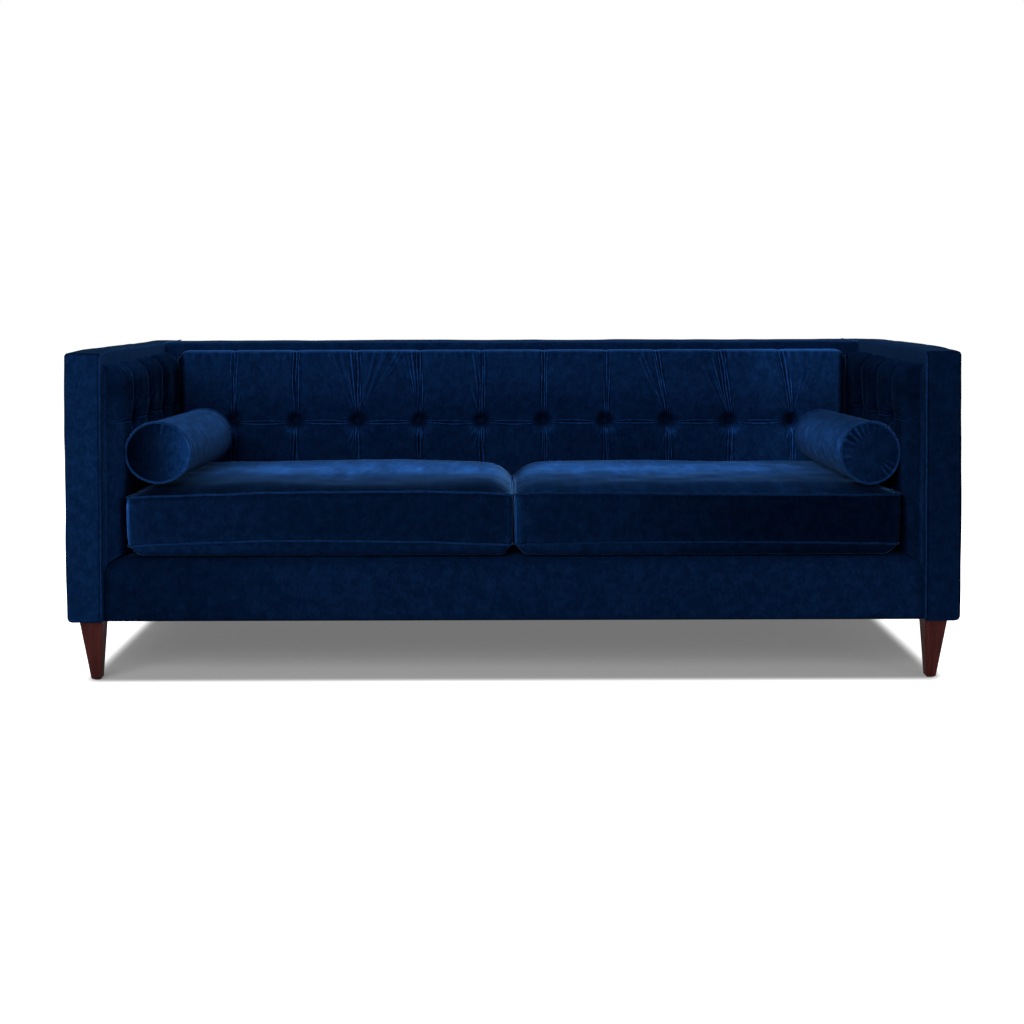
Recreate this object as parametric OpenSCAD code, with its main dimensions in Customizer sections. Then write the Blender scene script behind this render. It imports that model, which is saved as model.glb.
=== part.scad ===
// Two-seat tuxedo sofa with tufted inner arms and back, loose seat cushions and two bolsters.
// Origin on the floor under the middle. +X is the viewer's right, +Y the rear, +Z up. Millimetres.

/* [Overall] */
// Width over both arms
sofa_w = 2134; // [2050:1:2250]
// Depth from the arm fronts to the rear
sofa_d = 864; // [840:1:900]
// Height of the arms and the back
sofa_h = 787; // [765:1:820]

/* [Arms and back] */
// Thickness of an arm
arm_t = 82; // [78:1:100]
// Thickness of the back, border to rear
back_t = 206; // [190:1:220]
// Plain border above the tufted pads
border_h = 26; // [20:1:40]
// Depth of the padded panel on an arm front
front_t = 22; // [16:1:28]
// Thickness of the padded covers and of the thin boards behind the pads
cover_t = 5; // [4:0.5:7]
// Radius of the outer edges of the covers
edge_r = 8; // [5.5:0.5:10]

/* [Tufted pads] */
// Fullest thickness of the back pad
back_crest = 45; // [38:1:52]
// Fullest thickness of the arm pads
arm_crest = 50; // [42:1:54]
// Number of buttons across the back
back_button_n = 10; // [8:1:12]
// Width of the back's end panels, as a share of the distance between buttons
end_panel_share = 0.84; // [0.7:0.01:1]
// Height of the row of back buttons
back_row_h = 564; // [545:1:580]
// Number of vertical seams on an arm
arm_seam_n = 3; // [2:1:4]
// Width of an arm's front panel, as a share of the distance between its seams
arm_front_share = 0.9; // [0.7:0.01:1]
// Height of the upper tufting row of the arms
arm_row_h = 622; // [600:1:640]
// Distance between a pad's two tufting rows
row_pitch = 195; // [180:1:205]
// Thickness of a pad along its vertical seams
seam_w = 20; // [16:1:24]
// Thickness of a pad under a button
pit_w = 10; // [7:1:13]
// Thickness of a pad at its edges
pad_edge_w = 13; // [9:1:15]
// Radius of a covered button
button_r = 11; // [9:0.5:11.5]
// Thickness of a covered button
button_t = 7; // [5:0.5:9]

/* [Seat] */
// Radius of the soft front edge of the seat deck
roll_r = 40; // [32:1:46]
// Thickness of the felt deck pad over the springs
deck_pad_t = 30; // [24:1:36]
// Thickness of a seat cushion at its sides, between floor of the case and top seam
side_h = 150; // [140:1:160]
// Rise of a seat cushion's crown above its top seam
crown_h = 19; // [12:1:24]
// Height of the bottom seam above the underside of a seat cushion
under_h = 34; // [28:1:40]
// Corner radius of a seat cushion in plan
cushion_corner_r = 28; // [20:1:40]
// How far a seat cushion reaches past the apron
cushion_over = 4; // [0:1:8]
// Gap between a seat cushion and the arm pad
arm_gap = 7; // [3:1:10]
// Radius of a piped seam
welt_r = 2.4; // [1.8:0.1:2.8]

/* [Bolsters] */
// Radius of a bolster over its piping
bolster_r = 79; // [70:1:84]
// Distance from the arm front to the near end seam of a bolster
bolster_setback = 56; // [48:1:80]
// Distance from the far end seam of a bolster to the fullest part of the back pad
bolster_clear = 97; // [80:1:130]

/* [Legs] */
// Height of a wooden leg
leg_h = 141.5; // [120:0.5:160]
// Width of a leg at its top
leg_top = 54; // [50:1:56]
// Width of a leg at its foot
leg_foot = 24; // [22:1:34]
// How far the foot stands inwards of the top
leg_slant = 8; // [0:1:12]
// Bevel round the foot
leg_bevel = 3; // [1:0.5:4]
// Thickness of the glide under a leg
glide_t = 1.5; // [1:0.5:3]

/* [Frame] */
// Thickness of the frame boards
board_t = 25; // [20:1:28]
// Height of the seat rails
rail_h = 110; // [95:1:120]
// Number of sinuous springs
spring_n = 10; // [6:1:12]
// Thickness of the spring wire
wire_t = 3.8; // [3:0.1:4.4]
// Number of plywood ribs in the back
rib_n = 5; // [3:1:7]

/* [Hidden] */
$fn = 48;
// Overrun of a cut past the face that it opens
over = 1;
// Gap between soft faces, and round a loose core
seat_gap = 0.3;
// Gap round a shank in its bore
bore_gap = 0.2;

navy = [0.05, 0.13, 0.33];
navy_light = [0.08, 0.2, 0.46];
timber = [0.76, 0.62, 0.42];
plywood = [0.82, 0.7, 0.5];
cherry = [0.24, 0.09, 0.07];
steel = [0.6, 0.62, 0.65];
felt = [0.55, 0.53, 0.5];
foam = [0.93, 0.9, 0.78];
black_cloth = [0.08, 0.08, 0.09];
nylon = [0.15, 0.15, 0.16];

// Leg plate, bolt and screws
plate_t = 2;
plate_w = 38;
boss_r = 8;
boss_h = 9;
bolt_r = 4;
bolt_in_leg = 40;
bolt_in_post = 26;
screw_r = 2;
screw_l = 20;
screw_head_r = 3.6;
screw_head_t = 1;
screw_inset = 6;
glide_r = 8.5;
nail_r = 1.5;
nail_l = 14;

// Levels of the body
plate_z = glide_t + leg_h;
body_z = plate_z + plate_t;
dust_t = 1;
skin_z = body_z - dust_t;
wood_top = sofa_h - cover_t;
pad_top = sofa_h - border_h;
rail_top = body_z + rail_h;

// Planes of the body
half_w = sofa_w / 2;
half_d = sofa_d / 2;
arm_in = half_w - arm_t;
wood_in = arm_in + cover_t;
wood_out = half_w - cover_t;
front_y = -half_d;
apron_y = front_y + front_t;
back_y = half_d - back_t;
wood_rear = half_d - cover_t;
rail_y = apron_y + cover_t;

// Posts of the arms
front_post_d = 45;
rear_post_d = 60;
arm_rail_h = 40;
leg_x = wood_in + plate_w / 2 + screw_inset;
leg_y = apron_y + front_post_d / 2;

// Deck, from the rails upwards
clip_t = 1.2;
clip_w = 26;
clip_d = 10;
spring_z = rail_top + clip_t + seat_gap;
deck_under = spring_z + wire_t + seat_gap + clip_t;
insulator_t = 3;
deck_cloth_t = 2;
deck_pad_z = deck_under + insulator_t;
deck_cloth_z = deck_pad_z + deck_pad_t;
deck_z = deck_cloth_z + deck_cloth_t;
roll_y = apron_y + roll_r;
roll_z = deck_z - roll_r;

// Springs
spring_bar = 34;
spring_step = 42;
spring_y0 = rail_y + board_t / 2;
spring_y1 = back_y - board_t / 2;

// Arm bolts
arm_bolt_r = 4;
arm_bolt_head_r = 7;
arm_bolt_head_t = 5;
arm_bolt_bite = 52;
arm_bolt_z = body_z + arm_rail_h / 2;
arm_bolt_inset = 120;

// Ribs of the back
rib_t = 22;
rib_hole_r = 58;
rib_hole_n = 3;

// Stretchers and corner blocks of the seat frame
stretcher_n = 3;
stretcher_drop = 12;
block_leg = 60;
block_drop = 30;

// Tufting
pad_lift = deck_z + seat_gap;
flat_w = button_r + 1;
panel_shares = [0.2, 0.4, 0.6, 0.8];
low_band_shares = [0, 0.5];
mid_band_shares = [0.12, 0.5, 0.85];
top_band_shares = [0.17, 0.55, 0.86, 0.97];
row_swell_share = 0.55;
swell_power = 0.5;
button_rim_share = 0.45;
roll_turn = 15;
button_steps = 5;

// Seat cushions
middle_gap = 1.5;
rear_gap = 1;
cushion_x0 = middle_gap / 2;
cushion_x1 = arm_in - arm_crest - arm_gap;
cushion_y0 = apron_y - cushion_over;
cushion_y1 = back_y - back_crest - rear_gap;
cushion_z = deck_z + seat_gap;
top_seam_z = cushion_z + side_h;
under_seam_z = cushion_z + under_h;
cushion_mx = (cushion_x0 + cushion_x1) / 2;
cushion_my = (cushion_y0 + cushion_y1) / 2;
cushion_hx = (cushion_x1 - cushion_x0) / 2;
cushion_hy = (cushion_y1 - cushion_y0) / 2;
// Depth of the sewn groove that the piping lies in, and how far from it the case starts to draw in
groove_w = 2 * welt_r + 2 * bore_gap;
groove_h = 6;
face_in = 3;
belly = 1.5;
crown_power = 6;
corner_steps = 5;
side_steps = 8;
// Insets of the rings of the crown, each as a share of half the cushion's depth
crown_shares = [0.035, 0.09, 0.2, 0.4, 0.65, 0.85];
// Height, and inset from the face, of the rounded underside, as shares of its own height
under_shares = [[0, 1], [0.12, 0.62], [0.42, 0.22]];
core_in = 26;
core_drop = 18;
zip_w = 7;
zip_t = 1.2;
zip_end = 80;
zip_mouth_share = 0.5;
slider_w = 12;
slider_l = 20;

// Bolsters
bolster_end_r = bolster_r - welt_r;
bolster_cap = 6;
bolster_belly = 1.5;
bolster_core_r = 62;
bolster_core_in = 22;
bolster_x = arm_in - arm_crest - 2 * bore_gap - bolster_r;
bolster_y = front_y + bolster_setback;
bolster_l = back_y - back_crest - bolster_clear - bolster_y;
cap_steps = 6;
body_steps = 10;

// Helpers

module block(x0, x1, y0, y1, z0, z1) {
    translate([x0, y0, z0]) cube([x1 - x0, y1 - y0, z1 - z0]);
}

module sheet(x0, x1, y0, y1) {
    translate([x0, y0]) square([x1 - x0, y1 - y0]);
}

// Extrudes a drawing of X and Z along Y
module along_y(y0, y1) {
    translate([0, y1, 0]) rotate([90, 0, 0]) linear_extrude(y1 - y0) children();
}

// Extrudes a drawing of Y and Z along X
module along_x(x0, x1) {
    translate([x0, 0, 0]) rotate([90, 0, 90]) linear_extrude(x1 - x0) children();
}

module along_z(z0, z1) {
    translate([0, 0, z0]) linear_extrude(z1 - z0) children();
}

// What a round corner leaves out of a square one; sx and sy point out of the corner
module corner_waste(x, y, sx, sy, r) {
    reach = r + over;
    translate([x - sx * r, y - sy * r]) difference() {
        sheet(min(0, sx * reach), max(0, sx * reach), min(0, sy * reach), max(0, sy * reach));
        circle(r);
    }
}

module mirrored() {
    mirror([1, 0, 0]) children();
}

module both_sides() {
    children();
    mirrored() children();
}

module four_corners() {
    both_sides() {
        children();
        mirror([0, 1, 0]) children();
    }
}

// A round rod along X, Y or Z from a point
module rod_x(x, y, z, r, l) {
    translate([x, y, z]) rotate([0, 90, 0]) cylinder(h = l, r = r);
}

module rod_z(x, y, z, r, l) {
    translate([x, y, z]) cylinder(h = l, r = r);
}

// Seat frame

module seat_front_rail() {
    color(timber) block(-wood_in, wood_in, rail_y, rail_y + board_t, body_z, rail_top);
}

module seat_rear_rail() {
    color(timber) block(-wood_in, wood_in, back_y - board_t, back_y, body_z, rail_top);
}

// Places of the bolts that hold an arm to the seat frame
module at_arm_bolts() {
    for (y = [rail_y + board_t + arm_bolt_inset, back_y - board_t - arm_bolt_inset])
        translate([0, y, arm_bolt_z]) children();
}

module arm_bolt_bores() {
    at_arm_bolts() rod_x(wood_in - board_t - over, 0, 0, arm_bolt_r + bore_gap, arm_bolt_bite + over + bore_gap);
}

module seat_side_rail() {
    color(timber) difference() {
        block(wood_in - board_t, wood_in, rail_y + board_t, back_y - board_t, body_z, rail_top);
        arm_bolt_bores();
    }
}

module seat_stretchers() {
    span = 2 * (wood_in - board_t);
    color(timber) for (i = [1 : stretcher_n]) {
        x = -span / 2 + i * span / (stretcher_n + 1);
        block(x - board_t / 2, x + board_t / 2, rail_y + board_t, back_y - board_t, body_z, rail_top - stretcher_drop);
    }
}

// Triangular glue block in the front right corner of the seat frame
module corner_block(y, sy) {
    x = wood_in - board_t;
    along_z(body_z + block_drop, rail_top - block_drop)
        polygon([[x, y], [x - block_leg, y], [x, y + sy * block_leg]]);
}

module corner_blocks() {
    color(timber) both_sides() {
        corner_block(rail_y + board_t, 1);
        corner_block(back_y - board_t, -1);
    }
}

// Arm frames

// Hanger bolt of one leg, made wider by a gap for its bore
module hanger_bolt(gap) {
    rod_z(0, 0, plate_z - bolt_in_leg - gap, bolt_r + gap, bolt_in_leg + plate_t + bolt_in_post + 2 * gap);
}

module at_plate_screws() {
    for (dx = [-1, 1], dy = [-1, 1])
        translate([dx * (plate_w / 2 - screw_inset), dy * (plate_w / 2 - screw_inset), 0]) children();
}

module post_bores(y) {
    translate([leg_x, y, 0]) {
        rod_z(0, 0, body_z - over, boss_r + bore_gap, boss_h + over + bore_gap);
        hanger_bolt(bore_gap);
        at_plate_screws() rod_z(0, 0, body_z - over, screw_r + bore_gap, screw_l + over + bore_gap);
    }
}

module arm_post(y0, y1, leg_place) {
    difference() {
        block(wood_in, wood_out, y0, y1, body_z, wood_top - board_t);
        post_bores(leg_place);
    }
}

module arm_front_posts() {
    color(timber) both_sides() arm_post(apron_y, apron_y + front_post_d, leg_y);
}

module arm_rear_posts() {
    color(timber) both_sides() arm_post(wood_rear - rear_post_d, wood_rear, -leg_y);
}

module arm_bottom_rails() {
    color(timber) both_sides() difference() {
        block(wood_in, wood_out, apron_y + front_post_d, wood_rear - rear_post_d, body_z, body_z + arm_rail_h);
        arm_bolt_bores();
    }
}

module arm_top_rails() {
    color(timber) both_sides() block(wood_in, wood_out, apron_y, wood_rear, wood_top - board_t, wood_top);
}

module arm_inner_boards() {
    color(plywood) both_sides() block(arm_in, wood_in, apron_y, back_y, rail_top, pad_top);
}

module arm_front_boards() {
    color(plywood) both_sides()
        block(wood_in, wood_out, front_y + front_t / 2, apron_y, body_z + cover_t, wood_top);
}

module arm_bolts() {
    color(steel) both_sides() at_arm_bolts() {
        rod_x(wood_in - board_t, 0, 0, arm_bolt_r, arm_bolt_bite);
        rod_x(wood_in - board_t - arm_bolt_head_t, 0, 0, arm_bolt_head_r, arm_bolt_head_t);
    }
}

// Back frame

module rib_outline() {
    difference() {
        polygon([[back_y, body_z + board_t], [wood_rear, body_z + board_t], [wood_rear, wood_top - board_t],
            [back_y + cover_t, wood_top - board_t], [back_y + cover_t, rail_top], [back_y, rail_top]]);
        rise = wood_top - body_z - 2 * board_t;
        for (i = [1 : rib_hole_n])
            translate([(back_y + wood_rear) / 2, body_z + board_t + (i - 0.5) * rise / rib_hole_n]) circle(rib_hole_r);
    }
}

module back_ribs() {
    span = 2 * wood_in - rib_t;
    color(plywood) for (i = [0 : rib_n - 1])
        translate([-span / 2 + i * span / (rib_n - 1), 0, 0]) along_x(-rib_t / 2, rib_t / 2) rib_outline();
}

module back_top_rail() {
    color(timber) block(-wood_in, wood_in, back_y + cover_t, wood_rear, wood_top - board_t, wood_top);
}

module back_bottom_rail() {
    color(timber) block(-wood_in, wood_in, back_y, wood_rear, body_z, body_z + board_t);
}

module back_inner_board() {
    color(plywood) block(-wood_in, wood_in, back_y, back_y + cover_t, rail_top, pad_top);
}

// Springs and deck

// One sinuous spring from above: bars across it, joined by half rings at alternate ends
module spring_drawing(l) {
    n = round(l / spring_step);
    step = l / n;
    for (i = [0 : n])
        sheet(-spring_bar / 2, spring_bar / 2, i * step - wire_t / 2, i * step + wire_t / 2);
    for (i = [0 : n - 1]) {
        side = i % 2 == 0 ? 1 : -1;
        reach = side * (step + wire_t);
        translate([side * spring_bar / 2, (i + 0.5) * step]) intersection() {
            difference() {
                circle(step / 2 + wire_t / 2);
                circle(step / 2 - wire_t / 2);
            }
            sheet(min(0, reach), max(0, reach), -step, step);
        }
    }
}

// Places of the springs across the seat
module at_springs() {
    span = 2 * (wood_in - board_t);
    for (i = [0 : spring_n - 1])
        translate([-span / 2 + (i + 0.5) * span / spring_n, 0, 0]) children();
}

module seat_springs() {
    color(steel) at_springs() translate([0, spring_y0, 0]) along_z(spring_z, spring_z + wire_t)
        spring_drawing(spring_y1 - spring_y0);
}

// A strip of steel folded round the end bar of a spring
module spring_clip(y) {
    inner_y = wire_t / 2 + seat_gap;
    along_x(-clip_w / 2, clip_w / 2) difference() {
        sheet(y - clip_d, y + clip_d, rail_top, deck_under);
        sheet(y - inner_y, y + clip_d + over, rail_top + clip_t, deck_under - clip_t);
        sheet(y - clip_d - over, y - inner_y - clip_t, rail_top + clip_t, deck_under + over);
    }
}

module spring_clips() {
    color(steel) at_springs() {
        spring_clip(spring_y0);
        mirror([0, 1, 0]) spring_clip(-spring_y1);
    }
}

module deck_insulator() {
    color(felt) block(-arm_in, arm_in, roll_y, back_y, deck_under, deck_pad_z);
}

module deck_pad() {
    color(felt) block(-arm_in, arm_in, roll_y, back_y, deck_pad_z, deck_cloth_z);
}

module deck_cloth() {
    color(navy) block(-arm_in, arm_in, roll_y, back_y, deck_cloth_z, deck_z);
}

// Quarter disc of the soft front edge, seen from the side
module roll_quarter(r) {
    intersection() {
        translate([roll_y, roll_z]) circle(r);
        sheet(roll_y - r - over, roll_y, roll_z, roll_z + r + over);
    }
}

module front_edge_roll() {
    color(foam) along_x(-arm_in, arm_in) intersection() {
        roll_quarter(roll_r - cover_t);
        sheet(apron_y, roll_y, deck_under, deck_z);
    }
}

module apron_cover() {
    color(navy) along_x(-arm_in, arm_in) {
        sheet(apron_y, apron_y + cover_t, skin_z, roll_z);
        difference() {
            roll_quarter(roll_r);
            translate([roll_y, roll_z]) circle(roll_r - cover_t);
        }
    }
}

// Covers

// Rear half of an arm has no inner border, because the back covers it there
module arm_cover() {
    color(navy) difference() {
        along_y(apron_y, wood_rear) difference() {
            sheet(arm_in, half_w, skin_z, sofa_h);
            sheet(arm_in - over, wood_out, skin_z - over, pad_top);
            sheet(wood_in, wood_out, pad_top - over, wood_top);
            corner_waste(half_w, sofa_h, 1, 1, edge_r);
            corner_waste(arm_in, sofa_h, -1, 1, cover_t);
        }
        block(arm_in - over, wood_in, back_y, wood_rear + over, pad_top - over, wood_top);
    }
}

// Padded panel of the right arm front: its front, plan and side outlines meet
module arm_front_panel() {
    color(navy) difference() {
        intersection() {
            along_y(front_y, apron_y) difference() {
                sheet(arm_in, half_w, skin_z, sofa_h);
                corner_waste(half_w, sofa_h, 1, 1, edge_r);
                corner_waste(half_w, skin_z, 1, -1, edge_r);
                corner_waste(arm_in, sofa_h, -1, 1, cover_t);
            }
            along_z(skin_z, sofa_h) difference() {
                sheet(arm_in, half_w, front_y, apron_y);
                corner_waste(half_w, front_y, 1, -1, edge_r);
                corner_waste(arm_in, front_y, -1, -1, welt_r);
            }
            along_x(arm_in, half_w) difference() {
                sheet(front_y, apron_y, skin_z, sofa_h);
                corner_waste(front_y, sofa_h, -1, 1, edge_r);
                corner_waste(front_y, skin_z, -1, -1, edge_r);
            }
        }
        block(wood_in, wood_out, front_y + front_t / 2, apron_y + over, body_z + cover_t, wood_top);
        front_welt(welt_r + bore_gap);
    }
}

// Piping down the inner edge of an arm front
module front_welt(r) {
    rod_z(arm_in + welt_r / 2, front_y + welt_r, skin_z + edge_r, r, sofa_h - skin_z - 2 * edge_r);
}

module arm_front_welts() {
    color(navy_light) both_sides() front_welt(welt_r);
}

// Outer back, top of the back and plain border over the back pad, in one
module back_cover() {
    color(navy) difference() {
        intersection() {
            along_x(-half_w, half_w) difference() {
                sheet(back_y, half_d, skin_z, sofa_h);
                sheet(back_y - over, wood_rear, skin_z - over, pad_top);
                sheet(back_y + cover_t, wood_rear, pad_top - over, wood_top);
                corner_waste(half_d, sofa_h, 1, 1, cover_t);
                corner_waste(back_y, sofa_h, -1, 1, cover_t);
            }
            along_z(skin_z, sofa_h) difference() {
                sheet(-half_w, half_w, back_y, half_d);
                corner_waste(half_w, half_d, 1, 1, cover_t);
                corner_waste(-half_w, half_d, -1, 1, cover_t);
            }
        }
        both_sides() block(arm_in, half_w + over, back_y - over, wood_rear, pad_top - over, sofa_h + over);
    }
}

module dust_cover() {
    color(black_cloth) difference() {
        block(-wood_out, wood_out, rail_y, wood_rear, skin_z, body_z);
        four_corners() translate([leg_x, leg_y, 0])
            block(-leg_top / 2, leg_top / 2, -leg_top / 2, leg_top / 2, skin_z - over, body_z + over);
    }
}

// Tufted pads

// Cuts of a stretch: its start, a flat on each side of the seam, and shares of it between
function stretch_cuts(a, b) = concat([a, a + flat_w], [for (s = panel_shares) a + s * (b - a)], [b - flat_w]);

// Places of the columns of a pad whose seams stand at the given places
function pad_columns(lines) = concat(
    [for (p = [0 : len(lines) - 2]) each stretch_cuts(lines[p], lines[p + 1])], [lines[len(lines) - 1]]);

// The same with closer columns over the soft front edge, one for each turn of it
function roll_columns(lines) = concat([lines[0]],
    [for (a = [roll_turn : roll_turn : 90]) roll_y - roll_r * cos(a)],
    [for (u = pad_columns(lines)) if (u > roll_y + flat_w / 2) u]);

// Which stretch of a list of lines a place lies in
function stretch_of(lines, u) = max([for (p = [0 : len(lines) - 2]) u >= lines[p] ? p : 0]);

function share_in(lines, u) = let (p = stretch_of(lines, u)) (u - lines[p]) / (lines[p + 1] - lines[p]);

function distance_to(lines, u) = min([for (p = [1 : len(lines) - 2]) abs(u - lines[p])]);

// Heights of the rows above the low row
function pad_rows(low_row, high_row) = concat(
    [low_row], [for (s = mid_band_shares) low_row + s * (high_row - low_row)],
    [high_row - flat_w, high_row, high_row + flat_w],
    [for (s = top_band_shares) high_row + s * (pad_top - high_row)], [pad_top]);

function swell(share) = pow(max(0, sin(180 * share)), swell_power);

// Thickness of a pad at a place: seams and rows draw it in, and the buttons pull it to a flat pit
function pad_w(lines, rows, u, v, crest) =
    distance_to(lines, u) <= flat_w + bore_gap && abs(v - rows[2]) <= flat_w + bore_gap ? pit_w
    : seam_w + (crest - seam_w) * swell(share_in(lines, u))
        * (row_swell_share + (1 - row_swell_share) * swell(share_in(rows, v)));

// Height of the pad's lower edge: the deck, and in front of it the soft front edge
function lower_edge(u, follows_roll) = !follows_roll || u >= roll_y ? pad_lift
    : let (r = (roll_r + seat_gap) / cos(roll_turn / 2)) roll_z + sqrt(pow(r, 2) - pow(roll_y - u, 2));

// A pad as a closed solid: u runs along the wall, v up and w out of the wall
module tufted_pad(lines, low_row, high_row, crest, follows_roll) {
    us = follows_roll ? roll_columns(lines) : pad_columns(lines);
    upper = pad_rows(low_row, high_row);
    low_n = len(low_band_shares);
    n = len(us) - 1;
    m = low_n + len(upper) - 1;
    rows = [pad_lift, low_row, high_row, pad_top];
    function row_v(j, u) = j >= low_n ? upper[j - low_n]
        : let (v0 = lower_edge(u, follows_roll)) v0 + low_band_shares[j] * (low_row - v0);
    function at_edge(i, j) = i == 0 || i == n || j == 0 || j == m;
    grid = [for (i = [0 : n], j = [0 : m]) let (v = row_v(j, us[i]))
        [us[i], v, at_edge(i, j) ? pad_edge_w : pad_w(lines, rows, us[i], max(v, pad_lift), crest)]];
    foot = [for (i = [0 : n]) [us[i], row_v(0, us[i]), 0]];
    top = [[us[0], pad_top, 0], [us[n], pad_top, 0]];
    function g(i, j) = i * (m + 1) + j;
    function f(i) = (n + 1) * (m + 1) + i;
    t0 = f(n + 1);
    t1 = t0 + 1;
    front = [for (i = [0 : n - 1], j = [0 : m - 1])
        each [[g(i, j), g(i, j + 1), g(i + 1, j + 1)], [g(i, j), g(i + 1, j + 1), g(i + 1, j)]]];
    wall = concat([[t1, t0, f(0)]], [for (i = [0 : n - 1]) [t1, f(i), f(i + 1)]]);
    under = [for (i = [0 : n - 1]) each [[f(i), g(i, 0), g(i + 1, 0)], [f(i), g(i + 1, 0), f(i + 1)]]];
    cap = concat([[t0, t1, g(n, m)]], [for (i = [0 : n - 1]) [t0, g(i + 1, m), g(i, m)]]);
    near = concat([[f(0), t0, g(0, m)]], [for (j = [0 : m - 1]) [f(0), g(0, j + 1), g(0, j)]]);
    far = concat([[f(n), g(n, m), t1]], [for (j = [0 : m - 1]) [f(n), g(n, j), g(n, j + 1)]]);
    polyhedron(concat(grid, foot, top), concat(front, wall, under, cap, near, far), convexity = 10);
}

// Seams of the back stand under its buttons; its ends butt against the arm pads
back_end = arm_in - arm_crest - 2 * seat_gap;
button_pitch = 2 * back_end / (back_button_n - 1 + 2 * end_panel_share);
back_lines = concat([-back_end],
    [for (i = [0 : back_button_n - 1]) (i - (back_button_n - 1) / 2) * button_pitch], [back_end]);

// Panels of an arm are equal up to the back pad's face, but for the front one; the last runs on behind it
arm_near = apron_y + seat_gap;
arm_pitch = (back_y - back_crest - arm_near) / (arm_seam_n + arm_front_share);
arm_lines = concat([arm_near],
    [for (i = [0 : arm_seam_n - 1]) arm_near + (arm_front_share + i) * arm_pitch], [back_y - seat_gap]);

module on_back() {
    translate([0, back_y, 0]) rotate([90, 0, 0]) children();
}

module on_left_arm() {
    translate([-arm_in, 0, 0]) rotate([90, 0, 90]) children();
}

module back_pad() {
    color(navy) on_back() tufted_pad(back_lines, back_row_h - row_pitch, back_row_h, back_crest, false);
}

module arm_pad_left() {
    color(navy) on_left_arm() tufted_pad(arm_lines, arm_row_h - row_pitch, arm_row_h, arm_crest, true);
}

module button() {
    rim = button_t * button_rim_share;
    translate([0, 0, pit_w + seat_gap]) rotate_extrude() polygon(concat([[0, 0], [button_r, 0]],
        [for (k = [0 : button_steps]) let (a = 90 * k / button_steps)
            [button_r * cos(a), rim + (button_t - rim) * sin(a)]]));
}

// Buttons on the seams of a pad, at one height
module button_row(lines, h) {
    for (i = [1 : len(lines) - 2]) translate([lines[i], h, 0]) button();
}

module back_buttons() {
    color(navy_light) on_back() button_row(back_lines, back_row_h);
}

module arm_buttons() {
    color(navy_light) both_sides() on_left_arm() button_row(arm_lines, arm_row_h);
}

// Seat cushions

// Outline of a right cushion drawn in by an inset; the belly pushes the front and the ends out
function ring_corner(k) = [[1, -1], [1, 1], [-1, 1], [-1, -1]][k];

function ring_arc(k, inset) =
    let (r = max(cushion_corner_r - inset, over), c = ring_corner(k))
    [for (i = [0 : corner_steps]) let (a = 90 * (k - 1) + 90 * i / corner_steps)
        [c[0] * (cushion_hx - inset - r) + r * cos(a), c[1] * (cushion_hy - inset - r) + r * sin(a)]];

// Points along a side between two corners; k of 1 is the rear side, which stays straight
function ring_side(a, b, k, push) =
    let (turn = 90 * k, out = k == 1 ? 0 : push)
    [for (i = [1 : side_steps]) let (t = i / (side_steps + 1))
        [a[0] + t * (b[0] - a[0]) + out * sin(180 * t) * cos(turn),
            a[1] + t * (b[1] - a[1]) + out * sin(180 * t) * sin(turn)]];

function ring(inset, push) = [for (k = [0 : 3]) each concat(ring_arc(k, inset),
    let (arc = ring_arc(k, inset), next = ring_arc((k + 1) % 4, inset))
    ring_side(arc[corner_steps], next[0], k, push))];

function at_height(points, z) = [for (p = points) [p[0] + cushion_mx, p[1] + cushion_my, z]];

// Height of the crown over a point given from the cushion's middle
function crown_z(x, y) =
    let (u = min(1, abs(x) / (cushion_hx - groove_w)), v = min(1, abs(y) / (cushion_hy - groove_w)))
    top_seam_z + crown_h * sqrt((1 - pow(u, crown_power)) * (1 - pow(v, crown_power)));

function crown_ring(inset) = [for (p = ring(inset, 0)) [p[0] + cushion_mx, p[1] + cushion_my, crown_z(p[0], p[1])]];

module ring_solid(rings) {
    n = len(rings[0]);
    m = len(rings) - 1;
    points = [for (r = rings) each r];
    sides = [for (j = [0 : m - 1], i = [0 : n - 1]) let (a = j * n, b = a + n, k = (i + 1) % n)
        each [[a + i, b + i, b + k], [a + i, b + k, a + k]]];
    bottom = [for (i = [1 : n - 2]) [0, i, i + 1]];
    top = [for (i = [1 : n - 2]) [m * n, m * n + i + 1, m * n + i]];
    polyhedron(points, concat(sides, bottom, top), convexity = 10);
}

// Middle of the zip, and the slit in the case that it closes
zip_y = cushion_y1 - face_in + bore_gap;
zip_z = (under_seam_z + top_seam_z) / 2;

module zip_slit() {
    mouth = zip_w * zip_mouth_share;
    block(cushion_x0 + zip_end, cushion_x1 - zip_end, cushion_y1 - core_in - over, cushion_y1 + over,
        zip_z - mouth / 2, zip_z + mouth / 2);
}

module core_box(inset) {
    block(cushion_x0 + inset, cushion_x1 - inset, cushion_y0 + inset, cushion_y1 - inset,
        cushion_z + core_drop, top_seam_z - core_drop / 2);
}

// Case and wadding of a seat cushion, hollow for the foam core
module seat_cushion() {
    under = [for (s = under_shares) at_height(ring(face_in + s[1] * under_h, 0), cushion_z + s[0] * under_h)];
    border = [
        at_height(ring(face_in, belly / 2), under_seam_z - groove_h),
        at_height(ring(groove_w, 0), under_seam_z),
        at_height(ring(face_in, belly / 2), under_seam_z + groove_h),
        at_height(ring(face_in, 2 * belly), (under_seam_z + top_seam_z) / 2),
        at_height(ring(face_in, belly / 2), top_seam_z - groove_h),
        at_height(ring(groove_w, 0), top_seam_z)];
    crown = [for (s = crown_shares) crown_ring(groove_w + s * (cushion_hy - groove_w))];
    color(navy) difference() {
        ring_solid(concat(under, border, crown));
        core_box(core_in);
        zip_slit();
    }
}

module seat_core() {
    color(foam) core_box(core_in);
}

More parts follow.
